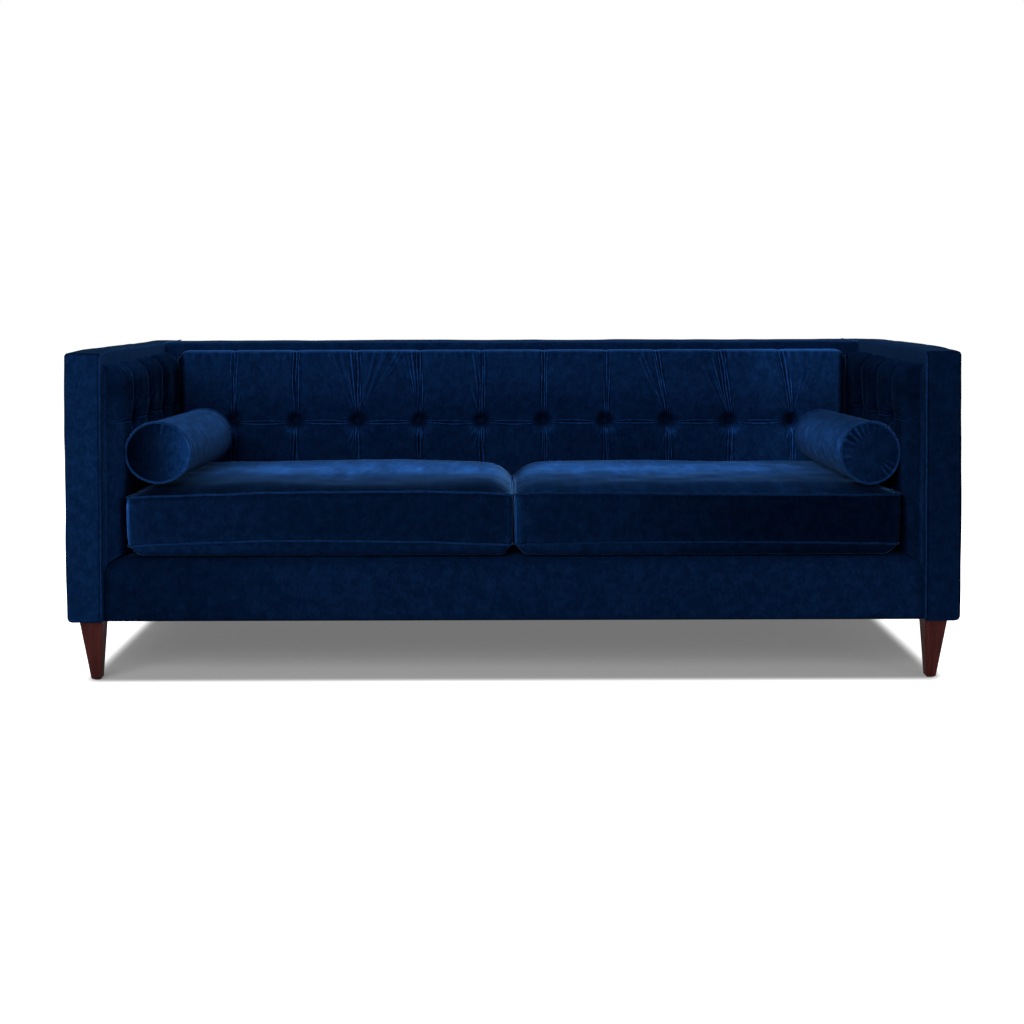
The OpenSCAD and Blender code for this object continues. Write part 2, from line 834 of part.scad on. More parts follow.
// Piping round a seat cushion at one height: straight rods and quarter rings
module cushion_welt(z) {
    r = cushion_corner_r - welt_r;
    sx = cushion_hx - cushion_corner_r;
    sy = cushion_hy - cushion_corner_r;
    translate([cushion_mx, cushion_my, z]) {
        for (s = [-1, 1]) {
            translate([-sx, s * (sy + r), 0]) rotate([0, 90, 0]) cylinder(h = 2 * sx, r = welt_r);
            translate([s * (sx + r), sy, 0]) rotate([90, 0, 0]) cylinder(h = 2 * sy, r = welt_r);
        }
        for (k = [0 : 3]) translate([ring_corner(k)[0] * sx, ring_corner(k)[1] * sy, 0]) rotate([0, 0, 90 * (k - 1)])
            rotate_extrude(angle = 90) translate([r, 0]) circle(welt_r);
    }
}

module seat_welts() {
    color(navy_light) {
        cushion_welt(top_seam_z);
        cushion_welt(under_seam_z);
    }
}

// Zip along the middle of the rear side of a seat cushion, with its slider
module seat_zip() {
    x0 = cushion_x0 + zip_end;
    color(nylon) {
        block(x0, cushion_x1 - zip_end, zip_y, zip_y + zip_t, zip_z - zip_w / 2, zip_z + zip_w / 2);
        block(x0, x0 + slider_l, zip_y, zip_y + 2 * zip_t, zip_z - slider_w / 2, zip_z + slider_w / 2);
    }
}

// Bolsters

// Radius of a bolster along its length; its end seams stand out by their piping
function bolster_radius(s) = s < welt_r || s > bolster_l - welt_r ? bolster_r
    : bolster_end_r + bolster_belly * sin(180 * s / bolster_l);

// Height at which a bolster's lowest line just clears the crown under it
bolster_z = seat_gap + max([for (i = [0 : 2 * body_steps], j = [-body_steps : body_steps])
    let (s = i * bolster_l / (2 * body_steps), r = bolster_radius(s), dx = j * r / (2 * body_steps))
    crown_z(bolster_x + dx - cushion_mx, bolster_y + s - cushion_my) + sqrt(pow(r, 2) - pow(dx, 2))]);

module at_bolster() {
    translate([bolster_x, bolster_y, bolster_z]) rotate([-90, 0, 0]) children();
}

module bolster_welt(r) {
    for (s = [0, bolster_l]) translate([0, 0, s]) rotate_extrude() translate([bolster_end_r, 0]) circle(r);
}

module bolster() {
    dome = [for (k = [0 : cap_steps]) [bolster_end_r * k / cap_steps, bolster_cap * (1 - pow(k / cap_steps, 2))]];
    side = [for (k = [1 : body_steps - 1]) [bolster_radius(k * bolster_l / body_steps), k * bolster_l / body_steps]];
    color(navy) at_bolster() difference() {
        rotate_extrude() polygon(concat(
            [for (p = dome) [p[0], -p[1]]], side,
            [for (k = [cap_steps : -1 : 0]) [dome[k][0], bolster_l + dome[k][1]]]));
        bolster_welt(welt_r + bore_gap);
        translate([0, 0, bolster_core_in - seat_gap])
            cylinder(h = bolster_l - 2 * bolster_core_in + 2 * seat_gap, r = bolster_core_r + seat_gap);
    }
}

module bolster_core() {
    color(foam) at_bolster() translate([0, 0, bolster_core_in])
        cylinder(h = bolster_l - 2 * bolster_core_in, r = bolster_core_r);
}

module bolster_welts() {
    color(navy_light) at_bolster() bolster_welt(welt_r);
}

// Legs

// Tapered outline of a leg; the foot is drawn in by the bevel
module leg_outline(foot_shift) {
    t = leg_top / 2;
    f = leg_foot / 2;
    polygon([[-t, plate_z], [t, plate_z], [foot_shift + f, glide_t + leg_bevel], [foot_shift + f - leg_bevel, glide_t],
        [foot_shift - f + leg_bevel, glide_t], [foot_shift - f, glide_t + leg_bevel]]);
}

// The front right leg
module leg() {
    color(cherry) translate([leg_x, leg_y, 0]) difference() {
        intersection() {
            along_y(-leg_top / 2, leg_top / 2) leg_outline(-leg_slant);
            along_x(-leg_top / 2 - leg_slant, leg_top / 2) leg_outline(0);
        }
        hanger_bolt(bore_gap);
        translate([-leg_slant, 0, glide_t - over]) cylinder(h = nail_l + over + bore_gap, r = nail_r + bore_gap);
    }
}

module leg_plates() {
    color(steel) four_corners() translate([leg_x, leg_y, 0]) difference() {
        union() {
            block(-plate_w / 2, plate_w / 2, -plate_w / 2, plate_w / 2, plate_z, body_z);
            rod_z(0, 0, body_z, boss_r, boss_h);
        }
        hanger_bolt(bore_gap);
        at_plate_screws() {
            rod_z(0, 0, plate_z - over, screw_r + bore_gap, plate_t + 2 * over);
            rod_z(0, 0, plate_z - over, screw_head_r + bore_gap, screw_head_t + over + bore_gap);
        }
    }
}

module plate_screws() {
    color(steel) four_corners() translate([leg_x, leg_y, 0]) at_plate_screws() {
        rod_z(0, 0, plate_z + bore_gap, screw_head_r, screw_head_t);
        rod_z(0, 0, plate_z + bore_gap, screw_r, plate_t - bore_gap + screw_l);
    }
}

module hanger_bolts() {
    color(steel) four_corners() translate([leg_x, leg_y, 0]) hanger_bolt(0);
}

module glides() {
    color(nylon) four_corners() translate([leg_x - leg_slant, leg_y, 0]) {
        cylinder(h = glide_t, r = glide_r);
        cylinder(h = glide_t + nail_l, r = nail_r);
    }
}

seat_front_rail();
seat_rear_rail();
mirrored() seat_side_rail();  // seat_side_rail_left
seat_side_rail();  // seat_side_rail_right
seat_stretchers();
corner_blocks();
arm_bottom_rails();
arm_front_posts();
arm_rear_posts();
arm_top_rails();
arm_inner_boards();
arm_front_boards();
arm_bolts();
back_ribs();
back_top_rail();
back_bottom_rail();
back_inner_board();
seat_springs();
spring_clips();
deck_insulator();
deck_pad();
front_edge_roll();
deck_cloth();
apron_cover();
mirrored() arm_cover();  // arm_cover_left
arm_cover();  // arm_cover_right
mirrored() arm_front_panel();  // arm_front_panel_left
arm_front_panel();  // arm_front_panel_right
arm_front_welts();
back_cover();
dust_cover();
arm_pad_left();
mirrored() arm_pad_left();  // arm_pad_right
back_pad();
arm_buttons();
back_buttons();
mirrored() seat_cushion();  // seat_cushion_left
seat_cushion();  // seat_cushion_right
mirrored() seat_core();  // seat_core_left
seat_core();  // seat_core_right
mirrored() seat_welts();  // seat_welts_left
seat_welts();  // seat_welts_right
mirrored() seat_zip();  // seat_zip_left
seat_zip();  // seat_zip_right
mirrored() bolster();  // bolster_left
bolster();  // bolster_right
mirrored() bolster_core();  // bolster_core_left
bolster_core();  // bolster_core_right
mirrored() bolster_welts();  // bolster_welts_left
bolster_welts();  // bolster_welts_right
mirrored() leg();  // leg_front_left
leg();  // leg_front_right
mirrored() mirror([0, 1, 0]) leg();  // leg_rear_left
mirror([0, 1, 0]) leg();  // leg_rear_right
leg_plates();
plate_screws();
hanger_bolts();
glides();
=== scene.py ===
"""Looks of a two-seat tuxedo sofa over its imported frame. Lengths are millimetres until a mesh is made."""
import math

import bpy
import numpy as np
from mathutils import Matrix, Vector


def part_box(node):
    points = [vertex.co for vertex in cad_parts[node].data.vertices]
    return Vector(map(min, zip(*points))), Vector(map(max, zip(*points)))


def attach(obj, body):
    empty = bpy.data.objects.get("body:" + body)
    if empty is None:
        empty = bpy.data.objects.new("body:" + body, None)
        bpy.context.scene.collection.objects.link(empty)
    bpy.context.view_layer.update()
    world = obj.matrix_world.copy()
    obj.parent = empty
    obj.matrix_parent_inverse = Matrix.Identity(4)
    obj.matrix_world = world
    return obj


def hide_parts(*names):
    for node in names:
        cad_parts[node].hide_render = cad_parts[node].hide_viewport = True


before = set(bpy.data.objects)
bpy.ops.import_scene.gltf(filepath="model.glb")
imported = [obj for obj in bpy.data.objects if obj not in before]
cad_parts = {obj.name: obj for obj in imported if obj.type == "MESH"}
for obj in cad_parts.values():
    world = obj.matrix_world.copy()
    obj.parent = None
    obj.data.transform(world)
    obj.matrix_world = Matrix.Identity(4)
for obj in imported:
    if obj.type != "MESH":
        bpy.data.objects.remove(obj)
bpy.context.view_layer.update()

MM = 0.001
SIDES = {"left": -1, "right": 1}


def node_box(name):
    """Lowest and highest corners of a CAD node, in millimetres."""
    low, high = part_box(name)
    return np.array(low) / MM, np.array(high) / MM


def new_object(name, data):
    """An object in the scene that shows some data."""
    item = bpy.data.objects.new(name, data)
    bpy.context.scene.collection.objects.link(item)
    return item


# Camera of the photograph

CAMERA_AT = (-0.0219, -3.8065, 0.9552)
CAMERA_YAW = -0.2154
CAMERA_PITCH = 1.1987
CAMERA_ROLL = 0.1209
CAMERA_LENS = 49.919
CAMERA_SHIFT = (0.0024, -0.1947)


def make_camera():
    """The camera stands in front of the sofa, a little above it, and looks slightly down."""
    yaw, pitch, roll = (math.radians(a) for a in (CAMERA_YAW, CAMERA_PITCH, CAMERA_ROLL))
    data = bpy.data.cameras.new("camera")
    data.lens = CAMERA_LENS
    data.sensor_width = 36
    data.shift_x, data.shift_y = CAMERA_SHIFT
    data.clip_start = 0.05
    data.clip_end = 60
    camera = new_object("camera", data)
    place = Matrix.Translation(CAMERA_AT)
    for angle, axis in ((yaw, "Z"), (math.pi / 2 - pitch, "X"), (-roll, "Z")):
        place = place @ Matrix.Rotation(angle, 4, axis)
    camera.matrix_world = place
    bpy.context.scene.camera = camera


make_camera()


# Numbers along lines and smooth chance

CHANCE_WAVES = 24


def graded(width, zone, fine, coarse):
    """Shares of a stretch, closer together within a zone at each end of it."""
    zone = min(zone, 0.45 * width)
    near = np.linspace(0, zone, max(2, round(zone / fine)) + 1)
    middle = np.linspace(zone, width - zone, max(1, round((width - 2 * zone) / coarse)) + 1)
    return np.concatenate([near, middle[1:-1], width - near[::-1]]) / width


def soft_chance(a, b, size, seed):
    """Smooth random field of about unit height; features are about as wide as size."""
    rng = np.random.default_rng(seed)
    total = np.zeros(np.broadcast(a, b).shape)
    for _ in range(CHANCE_WAVES):
        turn = rng.uniform(0, 2 * math.pi)
        rate = 2 * math.pi / (2 * size * rng.uniform(0.7, 1.7))
        total = total + np.sin(rate * (a * math.cos(turn) + b * math.sin(turn)) + rng.uniform(0, 2 * math.pi))
    return total / math.sqrt(CHANCE_WAVES / 2)


def smooth(x):
    x = np.clip(x, 0, 1)
    return x * x * (3 - 2 * x)


def bell(x):
    return np.exp(-np.square(x))


def through(x, knots):
    """A soft line through knots of (place, value)."""
    places, values = (np.array(row, float) for row in zip(*knots))
    k = np.clip(np.searchsorted(places, x, side="right") - 1, 0, len(places) - 2)
    t = np.clip((x - places[k]) / (places[k + 1] - places[k]), 0, 1)
    return values[k] + (values[k + 1] - values[k]) * (0.5 * t + 0.5 * smooth(t))


# Meshes

TUBE_SIDES = 12


def grid_faces(n, m, wrap=False, ring=False):
    """Quads over n rows and m columns; wrap joins the last row to the first, and ring the last column."""
    i, j = np.meshgrid(np.arange(n if wrap else n - 1), np.arange(m if ring else m - 1), indexing="ij")
    below, beside = (i + 1) % n, (j + 1) % m
    return np.stack([i * m + j, below * m + j, below * m + beside, i * m + beside], -1).reshape(-1, 4)


def as_rows(faces):
    return faces.tolist() if hasattr(faces, "tolist") else faces


def make_piece(name, points, faces, smooth_shaded=True):
    """A mesh object from points in millimetres; faces is a list or an array of index rows."""
    mesh = bpy.data.meshes.new(name)
    mesh.from_pydata((np.asarray(points, float) * MM).tolist(), [], as_rows(faces))
    mesh.update()
    if smooth_shaded:
        mesh.polygons.foreach_set("use_smooth", np.ones(len(mesh.polygons), bool))
    return new_object(name, mesh)


def joined(parts):
    """One array of points and one list of faces from several."""
    faces, base = [], 0
    for points, rows in parts:
        faces.extend([[base + v for v in row] for row in as_rows(rows)])
        base += len(points)
    return np.concatenate([np.asarray(points, float) for points, _ in parts]), faces


def box_shell(*ticks):
    """Welded quads over the six sides of a box with ticks along x, y and z, facing outwards."""
    counts = [len(row) for row in ticks]
    codes, quads, base = [], [], 0
    for axis in range(3):
        for last in (False, True):
            spans = [np.arange(n) for n in counts]
            spans[axis] = np.array([counts[axis] - 1 if last else 0])
            index = np.meshgrid(*spans, indexing="ij")
            rows = grid_faces(*[n for k, n in enumerate(counts) if k != axis]) + base
            codes.append(np.ravel_multi_index(index, counts).ravel())
            quads.append(rows if last == (axis != 1) else rows[:, ::-1])
            base += index[0].size
    code, place = np.unique(np.concatenate(codes), return_inverse=True)
    points = np.stack([row[k] for row, k in zip(ticks, np.unravel_index(code, counts))], -1)
    return points, place[np.concatenate(quads)]


def round_edges(points, a, b, low, high, radii):
    """Rounds four edges of a box; radii are for low a and b, high a, high b, then high a and b."""
    for (sign_a, sign_b), r in zip(((-1, -1), (1, -1), (-1, 1), (1, 1)), radii):
        centre_a = (high if sign_a > 0 else low)[a] - sign_a * r
        centre_b = (high if sign_b > 0 else low)[b] - sign_b * r
        u = (points[:, a] - centre_a) * sign_a / max(r, 1e-6)
        v = (points[:, b] - centre_b) * sign_b / max(r, 1e-6)
        inside = (u > 0) & (v > 0) & (r > 0)
        u, v = np.clip(u, 0, 1), np.clip(v, 0, 1)
        points[:, a] = np.where(inside, centre_a + sign_a * r * u * np.sqrt(1 - v * v / 2), points[:, a])
        points[:, b] = np.where(inside, centre_b + sign_b * r * v * np.sqrt(1 - u * u / 2), points[:, b])


def rounded(x, y, half_x, half_y, r):
    """Points of a rectangle round the middle, with its corners drawn in to a radius."""
    u, v = (np.abs(x) - half_x + r) / r, (np.abs(y) - half_y + r) / r
    inside = (u > 0) & (v > 0)
    u, v = np.clip(u, 0, 1), np.clip(v, 0, 1)
    near_x = np.sign(x) * (half_x - r + r * u * np.sqrt(1 - v * v / 2))
    near_y = np.sign(y) * (half_y - r + r * v * np.sqrt(1 - u * u / 2))
    return np.where(inside, near_x, x), np.where(inside, near_y, y)


def span_ticks(low, high, zone, fine, coarse):
    return low + (high - low) * graded(high - low, zone, fine, coarse)


def vertex_normals(points, faces):
    """Unit normals of the points of a mesh of quads."""
    quads = np.asarray(faces)
    across = np.cross(points[quads[:, 2]] - points[quads[:, 0]], points[quads[:, 3]] - points[quads[:, 1]])
    total = np.zeros_like(points)
    for k in range(4):
        for c in range(3):
            total[:, c] += np.bincount(quads[:, k], across[:, c], len(points))
    return total / np.maximum(np.linalg.norm(total, axis=1, keepdims=True), 1e-12)


def tube(path, radius, closed=True):
    """A round tube along a path of points; closed joins its ends."""
    path = np.asarray(path, float)
    n = len(path)
    ahead = np.roll(path, -1, 0) - np.roll(path, 1, 0) if closed else np.gradient(path, axis=0)
    ahead /= np.linalg.norm(ahead, axis=1, keepdims=True)
    steady = np.array([0.0, 0.0, 1.0])
    if np.abs(ahead @ steady).max() > 0.9:
        steady = np.array([1.0, 0.0, 0.0]) if np.abs(ahead[:, 0]).max() < 0.9 else np.array([0.0, 1.0, 0.0])
    side = np.cross(ahead, steady)
    side /= np.linalg.norm(side, axis=1, keepdims=True)
    up = np.cross(side, ahead)
    turn = np.linspace(0, 2 * math.pi, TUBE_SIDES, endpoint=False)
    ring = side[:, None, :] * np.cos(turn)[None, :, None] + up[:, None, :] * np.sin(turn)[None, :, None]
    faces = grid_faces(n, TUBE_SIDES, closed, True).tolist()
    if not closed:
        end = list(range(TUBE_SIDES))
        faces += [end, [(n - 1) * TUBE_SIDES + j for j in end[::-1]]]
    return (path[:, None, :] + radius * ring).reshape(-1, 3), faces


# Materials


class Nodes:
    """The node tree of a material or of the world, with short calls to add and join nodes."""

    def __init__(self, name, kind="Material"):
        owners = bpy.data.worlds if kind == "World" else bpy.data.materials
        self.owner = owners.new(name)
        self.owner.use_nodes = True
        self.tree = self.owner.node_tree
        self.tree.nodes.clear()
        self.output = self.add(f"ShaderNodeOutput{kind}")

    def add(self, kind, inputs=None, **settings):
        """A new node; an input is another node's output or a value, and a colour may leave out its alpha."""
        node = self.tree.nodes.new(kind)
        for key, value in settings.items():
            setattr(node, key, value)
        for key, value in (inputs or {}).items():
            socket = node.inputs[key]
            if isinstance(value, bpy.types.NodeSocket):
                self.tree.links.new(value, socket)
            elif socket.type == "RGBA" and len(value) == 3:
                socket.default_value = (*value, 1)
            else:
                socket.default_value = value
        return node

    def place(self, scale=(1, 1, 1)):
        """Places on the piece, stretched by scale; larger means finer."""
        inputs = {"Vector": self.add("ShaderNodeTexCoord").outputs["Object"], "Scale": scale}
        return self.add("ShaderNodeMapping", inputs).outputs[0]

    def noise(self, place, scale, detail=2.0, roughness=0.5, distortion=0.0):
        inputs = {"Vector": place, "Scale": scale, "Detail": detail, "Roughness": roughness}
        return self.add("ShaderNodeTexNoise", {**inputs, "Distortion": distortion}).outputs["Fac"]

    def ramp(self, value, stops):
        """Colour by a value; stops are (place, colour)."""
        node = self.add("ShaderNodeValToRGB", {"Fac": value})
        elements = node.color_ramp.elements
        while len(elements) < len(stops):
            elements.new(0.5)
        for element, (at, colour) in zip(elements, stops):
            element.position = at
            element.color = (*colour, 1)
        return node.outputs["Color"]

    def range(self, value, low, high, from_low=0.3, from_high=0.7, **settings):
        inputs = {"Value": value, "From Min": from_low, "From Max": from_high, "To Min": low, "To Max": high}
        return self.add("ShaderNodeMapRange", inputs, **settings).outputs["Result"]

    def soft_range(self, value, low, high, from_low=0, from_high=1):
        return self.range(value, low, high, from_low, from_high, interpolation_type="SMOOTHSTEP")

    def calc(self, operation, *values):
        return self.add("ShaderNodeMath", dict(enumerate(values)), operation=operation).outputs[0]

    def mix(self, factor, a, b):
        return self.add("ShaderNodeMix", {0: factor, 6: a, 7: b}, data_type="RGBA").outputs[2]

    def bump(self, height, distance, strength=1.0, normal=None):
        inputs = {"Height": height, "Distance": distance, "Strength": strength}
        if normal is not None:
            inputs["Normal"] = normal
        return self.add("ShaderNodeBump", inputs).outputs["Normal"]

    def show(self, shader):
        """Ends the tree with a shader, and gives back the material or the world."""
        self.tree.links.new(shader.outputs[0], self.output.inputs["Surface"])
        return self.owner

    def finish(self, **sockets):
        """Principled surface; names of sockets are written with _ for a space."""
        inputs = {key.replace("_", " "): value for key, value in sockets.items()}
        return self.show(self.add("ShaderNodeBsdfPrincipled", inputs))


PILE_RANGE = 7.0
PATCH_GRAIN, BRUSHED_GRAIN = 0.42, 0.34
VELVET_DARK = (0.0011, 0.0085, 0.036)
VELVET_MID = (0.0020, 0.0125, 0.050)
VELVET_LIGHT = (0.0040, 0.0200, 0.070)
SHEEN_TINT = (0.13, 0.36, 0.86)


def velvet(name, gain, sheen, seed, spread=0.3, brush=1.0):
    """Cut velvet: dark ground, pile in soft patches and a sheen; brush under 1 draws them out in depth."""
    n = Nodes(name)
    shift = {0: n.place((1, brush, 1)), 1: (seed, 0.37 * seed, 0.61 * seed)}
    place = n.add("ShaderNodeVectorMath", shift, operation="ADD").outputs[0]
    down = n.add("ShaderNodeMapping", {"Vector": place, "Scale": (1.0, 1.0, 0.45)}).outputs[0]
    broad = n.noise(place, 8, 3, 0.5, 0.3)
    patch = n.noise(place, 42, 5, 0.66, 0.5)
    brushed = n.noise(down, 190, 4, 0.65, 0.3)
    pile = n.noise(place, 620, 3, 0.7)
    dark, mid, light = (tuple(c * gain for c in tone) for tone in (VELVET_DARK, VELVET_MID, VELVET_LIGHT))
    ground = n.mix(n.range(broad, 0.25, 0.75), dark, mid)
    ground = n.mix(n.range(patch, 0.0, 0.5, 0.42, 0.72), ground, light)
    ground = n.mix(n.range(brushed, 0.0, 0.4, 0.42, 0.7), ground, light)
    ground = n.mix(n.range(pile, 0.0, 0.45, 0.4, 0.7), ground, dark)
    # The stored attribute, with grain added, scales the ground: pile tone with painted light and shade.
    lie = n.add("ShaderNodeAttribute", attribute_name="nap").outputs["Fac"]
    lie = n.calc("MULTIPLY_ADD", patch, PATCH_GRAIN, lie)
    lie = n.calc("MULTIPLY_ADD", brushed, BRUSHED_GRAIN, lie)
    lie = n.calc("SUBTRACT", lie, (PATCH_GRAIN + BRUSHED_GRAIN) / 2)
    turned = {0: ground, "Scale": n.calc("POWER", PILE_RANGE, lie)}
    ground = n.add("ShaderNodeVectorMath", turned, operation="SCALE").outputs[0]
    normal = n.bump(broad, 0.004, 0.3)
    normal = n.bump(patch, 0.0008, 0.45, normal)
    normal = n.bump(brushed, 0.0004, 0.6, normal)
    normal = n.bump(pile, 0.0002, 0.6, normal)
    return n.finish(Base_Color=ground, Roughness=n.range(patch, 0.76, 0.92), Specular_IOR_Level=0.0,
                    Sheen_Weight=sheen, Sheen_Roughness=spread, Sheen_Tint=SHEEN_TINT, Normal=normal)


def wood(name, dark, mid, light, along, rough, scale=1.0):
    """Planed wood with its grain along one axis: growth bands, fine pores and slight waviness."""
    n = Nodes(name)
    places = []
    for across, lengthwise in ((26.0, 2.2), (240.0, 7.0)):
        stretch = [across * scale] * 3
        stretch[along] = lengthwise * scale
        places.append(n.place(stretch))
    bands = n.noise(places[0], 1.6, 5, 0.6, 1.1)
    pores = n.noise(places[1], 2.2, 3, 0.6)
    figure = n.ramp(bands, [(0.3, dark), (0.5, mid), (0.72, light)])
    colour = n.mix(n.range(pores, 0.0, 0.55, 0.42, 0.72), figure, dark)
    return n.finish(Base_Color=colour, Roughness=n.range(pores, rough - 0.07, rough + 0.12),
                    Specular_IOR_Level=0.08, Normal=n.bump(pores, 0.0003, 0.45))


def plain_cloth(name, dark, light, thread):
    """Woven or felted cloth: fibres over slow patches of tone."""
    n = Nodes(name)
    place = n.place()
    patch = n.noise(place, 22, 4, 0.6)
    fibres = n.noise(place, thread, 3, 0.7)
    colour = n.mix(n.range(patch, 0.0, 0.4), n.ramp(fibres, [(0.3, dark), (0.7, light)]), dark)
    normal = n.bump(fibres, 0.0004, 0.8, n.bump(patch, 0.001, 0.3))
    return n.finish(Base_Color=colour, Roughness=n.range(fibres, 0.82, 0.95), Normal=normal)


def foam_material(name, dark, light):
    n = Nodes(name)
    cells = n.add("ShaderNodeTexVoronoi", {"Vector": n.place(), "Scale": 900.0}).outputs["Distance"]
    patch = n.noise(n.place(), 14, 3)
    colour = n.mix(n.range(cells, 0.0, 0.7, 0.0, 0.6), n.ramp(patch, [(0.35, dark), (0.65, light)]), dark)
    rough = n.range(cells, 0.8, 0.95, 0, 0.6)
    return n.finish(Base_Color=colour, Roughness=rough, Normal=n.bump(cells, 0.0005, 0.6))


def metal(name, dark, light, rough):
    n = Nodes(name)
    streaks = n.noise(n.place((30, 30, 400)), 3, 4, 0.6)
    spots = n.noise(n.place(), 160, 4, 0.6)
    colour = n.ramp(streaks, [(0.35, dark), (0.65, light)])
    return n.finish(Base_Color=colour, Metallic=1.0, Roughness=n.range(spots, rough - 0.08, rough + 0.1),
                    Normal=n.bump(spots, 0.0001, 0.4))


def moulded(name, dark, light, rough):
    n = Nodes(name)
    grain = n.noise(n.place(), 700, 3, 0.6)
    colour = n.ramp(n.noise(n.place(), 40, 3), [(0.35, dark), (0.65, light)])
    roughness = n.range(grain, rough - 0.05, rough + 0.08)
    return n.finish(Base_Color=colour, Roughness=roughness, Normal=n.bump(grain, 0.0001, 0.5))


# Of each: gain, sheen, seed, spread of the sheen, brush
# The gains also paint light and shade: the left copies are lighter than the right ones, and the button copy
# is darker for the shade of its pit.
VELVET = {name: velvet(f"navy_velvet_{name}", *values) for name, values in {
    "arm_left": (0.9, 0.12, 0.0),
    "arm_right": (0.54, 0.12, 0.9),
    "back": (0.85, 0.1, 1.3),
    "apron": (0.64, 0.15, 2.1),
    "tufted_back": (0.8, 0.6, 2.9, 0.25),
    "tufted_left": (0.58, 0.25, 3.3, 0.15),
    "tufted_right": (0.38, 0.2, 3.7, 0.15),
    "cushion_left": (0.56, 0.7, 4.1, 0.22, 0.28),
    "cushion_right": (0.46, 0.7, 4.9, 0.22, 0.28),
    "bolster_left": (1.03, 0.16, 5.3, 0.3, 0.4),
    "bolster_right": (0.9, 0.15, 5.9, 0.3, 0.4),
    "button": (0.45, 0.1, 6.1),
    "deck": (0.7, 0.2, 6.7),
}.items()}
VELVET_PIPING = velvet("navy_piping", 0.95, 0.5, 7.1)
# A lighter copy of the piping velvet: painted highlight on the bolster welts.
BOLSTER_HIGHLIGHT_PIPING = velvet("navy_piping_bolster", 1.7, 0.9, 7.7)
CHERRY = wood("cherry_wood", (0.020, 0.0022, 0.0022), (0.042, 0.0062, 0.0056), (0.066, 0.012, 0.010), 2, 0.46)
TIMBER = wood("frame_timber", (0.42, 0.27, 0.13), (0.56, 0.39, 0.21), (0.66, 0.49, 0.29), 0, 0.62)
PLYWOOD = wood("plywood", (0.50, 0.36, 0.20), (0.61, 0.46, 0.28), (0.70, 0.55, 0.36), 2, 0.6, 0.7)
STEEL = metal("spring_steel", (0.30, 0.31, 0.33), (0.52, 0.53, 0.55), 0.34)
FELT = plain_cloth("felt", (0.20, 0.19, 0.17), (0.40, 0.38, 0.34), 300.0)
FOAM = foam_material("foam", (0.72, 0.68, 0.52), (0.84, 0.80, 0.64))
DUST_CLOTH = plain_cloth("dust_cloth", (0.008, 0.008, 0.009), (0.022, 0.022, 0.024), 800.0)
NYLON = moulded("nylon", (0.012, 0.012, 0.013), (0.022, 0.022, 0.024), 0.42)

CAD_MATERIALS = (
    (TIMBER, "seat_front_rail seat_rear_rail seat_side_rail_left seat_side_rail_right seat_stretchers"),
    (TIMBER, "corner_blocks arm_bottom_rails arm_front_posts arm_rear_posts arm_top_rails"),
    (TIMBER, "back_top_rail back_bottom_rail"),
    (PLYWOOD, "arm_inner_boards arm_front_boards back_ribs back_inner_board"),
    (STEEL, "arm_bolts seat_springs spring_clips leg_plates plate_screws hanger_bolts"),
    (FELT, "deck_insulator deck_pad"),
    (FOAM, "front_edge_roll seat_core_left seat_core_right bolster_core_left bolster_core_right"),
    (NYLON, "seat_zip_left seat_zip_right glides"),
    (DUST_CLOTH, "dust_cover"),
)
for material, names in CAD_MATERIALS:
    for name in names.split():
        cad_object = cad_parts[name]
        cad_object.data.materials.clear()
        cad_object.data.materials.append(material)


def paint_light_and_pile(piece, fold=10.0, lean=None, opened=0.5, closed=0.3):
    """Stores a tone for the velvet's ground: painted highlight over folds, painted shade in creases, and
    lean(points, normals) adds more.
    """
    mesh = piece.data
    n = len(mesh.vertices)
    points, normals = np.empty(3 * n), np.empty(3 * n)
    mesh.vertices.foreach_get("co", points)
    mesh.vertices.foreach_get("normal", normals)
    points, normals = points.reshape(-1, 3) / MM, normals.reshape(-1, 3)
    ends = np.empty(2 * len(mesh.edges), np.int32)
    mesh.edges.foreach_get("vertices", ends)
    a, b = ends[0::2], ends[1::2]
    step = points[b] - points[a]
    reach = np.maximum(np.square(step).sum(1), 0.25)
    fall_a, fall_b = ((step * normals[end]).sum(1) / reach for end in (a, b))
    count = np.maximum(np.bincount(a, minlength=n) + np.bincount(b, minlength=n), 1)
    bend = 2 * (np.bincount(a, -fall_a, n) + np.bincount(b, fall_b, n)) / count
    for _ in range(2):
        bend = 0.5 * bend + 0.5 * (np.bincount(a, bend[b], n) + np.bincount(b, bend[a], n)) / count
    nap = np.tanh(fold * bend) * np.where(bend > 0, opened, closed)
    if lean is not None:
        nap = nap + lean(points, normals)
    mesh.attributes.new("nap", "FLOAT", "POINT").data.foreach_set("value", nap.astype(np.float32))


def finish_piece(piece, body, material, nodes=()):
    """Gives a piece its material and its place in the object."""
    piece.data.materials.append(material)
    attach(piece, body)
    if nodes:
        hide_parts(*nodes)


# Tufted pads

PIT_W = 10.0
EDGE_W = 2.0
PIT_LAP = 3.0
FOLD_START = 14.0
PANEL_STEPS = (22, 1.5, 3.8)
ROW_STEPS = (18, 1.6, 3.4)
BUTTON_R, BUTTON_T = 11.0, 7.0
BUTTON_RISE = PIT_W - 2.6
BUTTON_STEPS, BUTTON_TURNS = 10, 36


